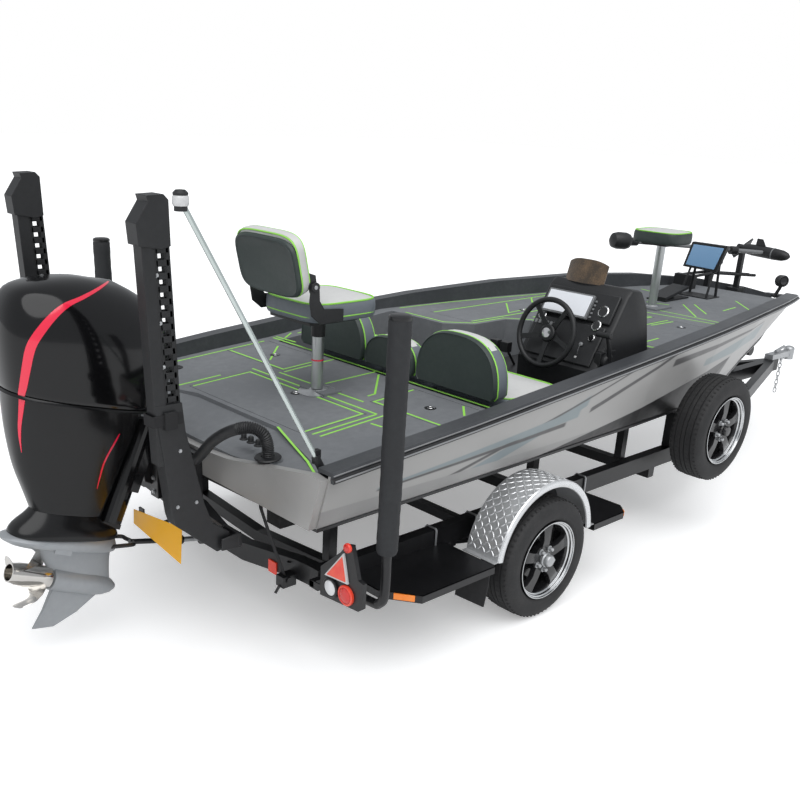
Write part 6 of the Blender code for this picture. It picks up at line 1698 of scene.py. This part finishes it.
class BOAT_OT_hull_fittings(bpy.types.Operator):
    """Rub rails, deck latches, transom eye with its strap, drain plate, reflectors and well fittings"""

    bl_idname = "boat.hull_fittings"
    bl_label = "Hull fittings"

    def execute(self, context):
        for side, name in ((1, "port"), (-1, "starboard")):
            line = curve_through([(x, side * (half + 0.016), z - 0.03) for x, half, z in GUNWALE], 6)
            made = bmesh.new()
            tube(made, line, 0.0135, 8)
            tube(made, [p + Vector((0, side * 0.0125, 0.0)) for p in line], 0.0042, 6, 1)
            tube(made, [p + Vector((0, side * 0.002, 0.02)) for p in line], 0.0032, 6, 1)
            piece("rub_rail_" + name, made, ["rail_rubber", "rail_strip"], HULL, 60)
        for lid, x, y in LATCHES:
            made = bmesh.new()
            z = deck_level(x)
            turned(made, [(0.0, 0.0), (0.03, 0.0), (0.03, 0.0012), (0.026, 0.0022), (0.022, 0.0008),
                          (0.0, 0.0008)], (x, y, z), (0, 0, 1), 28)
            ring(made, 0.015, 0.0018, (x, y, z + 0.0024), (0, 0, 1), 24, 6, 1)
            piece("latch_" + lid[4:], made, ["moulded_black", "chrome"], lid, 40)

        made = bmesh.new()
        for side in (-1, 1):
            plate(made, oblong(side * 0.564, 0.845, side * 0.616, 0.905), "yz", -0.01, 0.02)
            ring(made, 0.017, 0.0055, (-0.018, side * 0.59, 0.874), (0.15, 1, 0), 28, 8)
        for y in (-0.822, 0.822):
            turned(made, [(0.0, 0.0), (0.018, 0.0), (0.018, 0.004), (0.014, 0.006), (0.0, 0.006)],
                   (0.004, y, 0.952), (-1, 0, 0), 20)
        rows = []
        for scale, off in ((1.0, 0.004), (1.0, -0.004), (0.86, -0.01), (0.45, -0.013)):
            rows.append([(off, -0.822 + 0.066 * scale * math.cos(a), 0.95 + 0.021 * scale * math.sin(a))
                         for a in (2 * math.pi * k / 32 for k in range(32))])
        loft(made, rows)
        piece("transom_fittings", made, "chrome", HULL, 40)

        made = bmesh.new()
        path = [Vector(p) for p in ((-0.022, -0.592, 0.85), (-0.016, -0.596, 0.76), (0.03, -0.6, 0.62),
                (0.08, -0.604, 0.48), (0.11, -0.604, 0.4))]
        loft(made, [[p + Vector((-0.0015, -0.014, 0)), p + Vector((-0.0015, 0.014, 0)), p
                     + Vector((0.0015, 0.014, 0)), p + Vector((0.0015, -0.014, 0))] for p in path])
        tube(made, [(-0.022, -0.592, 0.845), (-0.026, -0.592, 0.866), (-0.012, -0.592, 0.878)], 0.0045, 8, 1)
        block(made, (0.085, -0.632, 0.345), (0.161, -0.576, 0.4), 1)
        rod(made, (0.118, -0.64, 0.382), (0.118, -0.568, 0.382), 0.016, 16, 1)
        rod(made, (0.085, -0.604, 0.352), (0.06, -0.604, 0.32), 0.007, 8, 1)
        block(made, (0.152, -0.485, 0.335), (0.161, -0.425, 0.398), 2)
        piece("tie_down", made, ["strap_webbing", "black_steel", "reflector_red"], HULL, 40, 0.001)

        made = bmesh.new()
        plate(made, [(-0.8, 0.484), (-0.8, 0.386), (-0.62, 0.372), (-0.2, 0.3), (0.2, 0.3), (0.62, 0.372),
                     (0.8, 0.386), (0.8, 0.484), (0.62, 0.47), (0.2, 0.398), (-0.2, 0.398), (-0.62, 0.47)],
              "yz", 0.16, 0.222)
        for y in (-0.43, 0.43):
            rod(made, (0.158, y * 1.35, 0.44), (0.158, y * 1.35, 0.444), 0.012, 8)
        piece("stern_beam", made, "black_steel", HULL, 30, 0.004)

        # Small fittings beside the hose
        made = bmesh.new()
        for y in (-0.47, -0.415, -0.36):
            turned(made, [(0.02, 0.0), (0.02, 0.004), (0.013, 0.008), (0.013, 0.026), (0.01, 0.03),
                          (0.0, 0.03)], (0.06, y, 0.999), (0, 0, 1), 18)
        turned(made, [(0.036, 0.0), (0.036, 0.003), (0.03, 0.006), (0.0, 0.006)], (0.42, 0.8, 1.0215),
               (-0.062, 0, 1), 28)
        piece("deck_fittings", made, "moulded_black", HULL, 40)
        return {"FINISHED"}


class BOAT_OT_bow_gear(bpy.types.Operator):
    """Bow display on its stand, the stowed bow motor with its head and pod, and the bow lamp"""

    bl_idname = "boat.bow_gear"
    bl_label = "Bow gear"

    def execute(self, context):
        made = bmesh.new()
        corners = [(0.165, 1.554), (-0.124, 1.553), (-0.065, 1.354), (0.212, 1.363)]
        middle = (0.047, 1.456)
        plate(made, corners, "yz", 4.6, 4.64)
        inner = [(middle[0] + (a - middle[0]) * 0.86, middle[1] + (b - middle[1]) * 0.82) for a, b in corners]
        plate(made, inner, "yz", 4.5965, 4.601, 1)
        for y in (-0.04, 0.15):
            tube(made, [(4.64, y, 1.42), (4.69, y, 1.4), (4.7, y * 1.15, 1.158)], 0.011, 8)
            tube(made, [(4.63, y, 1.4), (4.56, y * 1.15, 1.158)], 0.009, 8)
        rod(made, (4.69, -0.06, 1.42), (4.69, 0.17, 1.42), 0.01, 10)
        block(made, (4.54, -0.07, 1.1555), (4.72, 0.19, 1.163))
        display = piece("bow_screen", made, ["moulded_black", "screen_blue"], HULL, 35, 0.003)
        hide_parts("bow_display")

        made = bmesh.new()
        pod, aim = Vector((5.75, 0.12, 1.405)), Vector((-0.1, -1.0, -0.04)).normalized()
        turned(made, [(0.0, 0.215), (0.012, 0.21), (0.03, 0.19), (0.043, 0.15), (0.047, 0.09), (0.047, -0.12),
                      (0.042, -0.18), (0.03, -0.212), (0.0, -0.214)], pod, aim, 32)
        turned(made, [(0.048, 0.06), (0.048, 0.07), (0.0465, 0.072), (0.0465, 0.058)], pod, aim, 32, 1)
        fin = pod - aim * 0.06
        loft(made, [[fin + aim * a + Vector((t, 0, z)) for a, t in oblong(aft, -half, fore, half)] for aft,
                    fore, half, z in ((-0.05, 0.05, 0.004, 0.04), (-0.045, 0.01, 0.003, 0.1))])
        head = Vector((4.5, 0.7, 1.5))
        rod(made, head, pod + Vector((-0.02, 0.01, 0)), 0.0155, 16, 1)
        along = (pod - head).normalized()
        turned(made, [(0.0, -0.12), (0.03, -0.118), (0.056, -0.1), (0.066, -0.06), (0.066, 0.01), (0.056, 0.04),
                      (0.034, 0.056), (0.03, 0.12), (0.022, 0.13), (0.0, 0.13)], head, along, 32)
        for x, y in ((5.165, 0.29), (5.43, 0.17)):
            spot = head + along * ((Vector((x, y, 1.45)) - head).dot(along))
            block(made, (x - 0.02, y - 0.02, 1.12), (x + 0.02, y + 0.02, spot.z - 0.01))
            turned(made, [(0.034, -0.03), (0.034, 0.03)], (x, spot.y, spot.z), along, 24)
            block(made, (x - 0.06, y - 0.05, 1.08), (x + 0.06, y + 0.05, 1.138))
        for off in (-0.055, 0.055):
            tube(made, [(4.9, 0.33 + off, 1.25), (5.165, 0.29 + off * 0.7, 1.262),
                        (5.56, 0.115 + off * 0.5, 1.235)], 0.012, 10)
        block(made, (4.86, 0.25, 1.155), (4.92, 0.42, 1.262))
        motor = piece("bow_motor", made, ["moulded_black", "bezel_grey"], HULL, 40, 0.002)
        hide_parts("trolling_motor")

        made = bmesh.new()
        lamp, face = Vector((5.727, -0.07, 1.199)), Vector((-0.55, -0.8, 0.1)).normalized()
        profile = [(0.0, -0.03)]
        for i in range(8):
            profile += [(0.044, -0.03 + 0.007 * i), (0.048, -0.028 + 0.007 * i), (0.048, -0.0255 + 0.007 * i),
                        (0.044, -0.0235 + 0.007 * i)]
        turned(made, profile + [(0.036, 0.03), (0.034, 0.024), (0.0, 0.024)], lamp, face, 32)
        turned(made, [(0.0, 0.024), (0.033, 0.0245), (0.03, 0.029), (0.0, 0.032)], lamp, face, 32, 1)
        tube(made, [lamp - Vector((0, 0, 0.04)), (5.727, -0.06, 1.13), (5.7, -0.04, 1.06)], 0.014, 10)
        piece("bow_lamp", made, ["moulded_black", "dial_face"], HULL, 40)
        return {"FINISHED"}


FLOOR_REACH, FLOOR_DROP = 60, -0.001
SUN_SPREAD, SUN_AIM = math.radians(70), (0.35, 0.5, -1.0)
# The camera as fitted to the photo: place, the picture's right, down and ahead, lens, sensor and shift
CAMERA_PLACE = (-2.27645, -3.68765, 2.40125)
CAMERA_RIGHT = (0.75393841, -0.65586506, 0.03765487)
CAMERA_DOWN = (-0.21960835, -0.30563833, -0.92647579)
CAMERA_AHEAD = (0.61915187, 0.69023636, -0.37446592)
CAMERA_LENS, CAMERA_WIDTH, CAMERA_SHIFT = 42.59, 36.0, (0.0639, 0.1131)


class BOAT_OT_stage(bpy.types.Operator):
    """Floor, soft studio light and the camera"""

    bl_idname = "boat.stage"
    bl_label = "Stage"

    def execute(self, context):
        settings = context.scene.boat_stage
        floor_material = bpy.data.materials.new("stage_floor")
        floor_material.use_nodes = True
        tree = floor_material.node_tree
        shader = tree.nodes["Principled BSDF"]
        shader.inputs["Base Color"].default_value = (*settings.floor_colour, 1.0)
        shader.inputs["Roughness"].default_value = 0.9
        shader.inputs["Specular IOR Level"].default_value = 0.1
        shader.inputs["Emission Color"].default_value = (1, 1, 1, 1)
        rays = tree.nodes.new("ShaderNodeLightPath")
        glow = math_node(tree, "MULTIPLY", rays.outputs["Is Camera Ray"], settings.whiteness)
        tree.links.new(glow, shader.inputs["Emission Strength"])
        made = bmesh.new()
        made.faces.new([made.verts.new((x, y, FLOOR_DROP)) for x,
                        y in oblong(-FLOOR_REACH, -FLOOR_REACH, FLOOR_REACH, FLOOR_REACH)])
        floor = plain_object("stage_floor", made)
        floor.data.materials.append(floor_material)

        world = bpy.data.worlds.new("studio")
        context.scene.world = world
        world.use_nodes = True
        tree = world.node_tree
        tree.nodes.clear()
        soft = tree.nodes.new("ShaderNodeBackground")
        soft.inputs[0].default_value = (0.93, 0.96, 1.0, 1.0)
        soft.inputs[1].default_value = settings.sky_strength
        white = tree.nodes.new("ShaderNodeBackground")
        white.inputs[0].default_value = (1, 1, 1, 1)
        white.inputs[1].default_value = 1.0
        rays = tree.nodes.new("ShaderNodeLightPath")
        seen = math_node(tree, "MAXIMUM", rays.outputs["Is Camera Ray"], rays.outputs["Is Transmission Ray"])
        mix = tree.nodes.new("ShaderNodeMixShader")
        tree.links.new(seen, mix.inputs[0])
        tree.links.new(soft.outputs[0], mix.inputs[1])
        tree.links.new(white.outputs[0], mix.inputs[2])
        out = tree.nodes.new("ShaderNodeOutputWorld")
        tree.links.new(mix.outputs[0], out.inputs[0])

        data = bpy.data.lights.new("soft_sun", "SUN")
        data.energy = settings.sun_strength
        data.angle = SUN_SPREAD
        lamp = bpy.data.objects.new("soft_sun", data)
        context.scene.collection.objects.link(lamp)
        lamp.rotation_euler = Vector(SUN_AIM).to_track_quat("-Z", "Y").to_euler()

        data = bpy.data.cameras.new("photo_camera")
        camera = bpy.data.objects.new("photo_camera", data)
        context.scene.collection.objects.link(camera)
        place = at(*CAMERA_PLACE)
        rows = [(right, -down, -ahead, spot) for right, down, ahead,
                spot in zip(CAMERA_RIGHT, CAMERA_DOWN, CAMERA_AHEAD, place)]
        camera.matrix_world = Matrix((*rows, (0, 0, 0, 1)))
        data.lens, data.sensor_width = CAMERA_LENS, CAMERA_WIDTH
        data.shift_x, data.shift_y = CAMERA_SHIFT
        context.scene.camera = camera
        context.scene.view_settings.view_transform = "Standard"
        return {"FINISHED"}


class BOAT_PT_dressing(bpy.types.Panel):
    bl_idname = "BOAT_PT_dressing"
    bl_label = "Bass boat"
    bl_space_type = "VIEW_3D"
    bl_region_type = "UI"
    bl_category = "Boat"

    def draw(self, context):
        layout = self.layout
        for name in ("boat_stage", "boat_deck"):
            settings = getattr(context.scene, name)
            for field in settings.__annotations__:
                layout.prop(settings, field)
        for operator in OPERATORS:
            layout.operator(operator.bl_idname)


SETTINGS = [("boat_stage", BoatStageSettings), ("boat_deck", BoatDeckSettings)]
OPERATORS = [BOAT_OT_paint_frame, BOAT_OT_stage, BOAT_OT_stern_gear, BOAT_OT_engine, BOAT_OT_running_gear,
             BOAT_OT_seating, BOAT_OT_helm, BOAT_OT_hull_fittings, BOAT_OT_bow_gear, BOAT_OT_deck_inlays]


def register():
    for name, group in SETTINGS:
        bpy.utils.register_class(group)
        setattr(bpy.types.Scene, name, bpy.props.PointerProperty(type=group))
    for operator in OPERATORS:
        bpy.utils.register_class(operator)
    bpy.utils.register_class(BOAT_PT_dressing)


def unregister():
    bpy.utils.unregister_class(BOAT_PT_dressing)
    for operator in reversed(OPERATORS):
        bpy.utils.unregister_class(operator)
    for name, group in reversed(SETTINGS):
        delattr(bpy.types.Scene, name)
        bpy.utils.unregister_class(group)


def main():
    register()
    for operator in OPERATORS:
        group, name = operator.bl_idname.split(".")
        getattr(getattr(bpy.ops, group), name)()


if __name__ == "__main__":
    main()
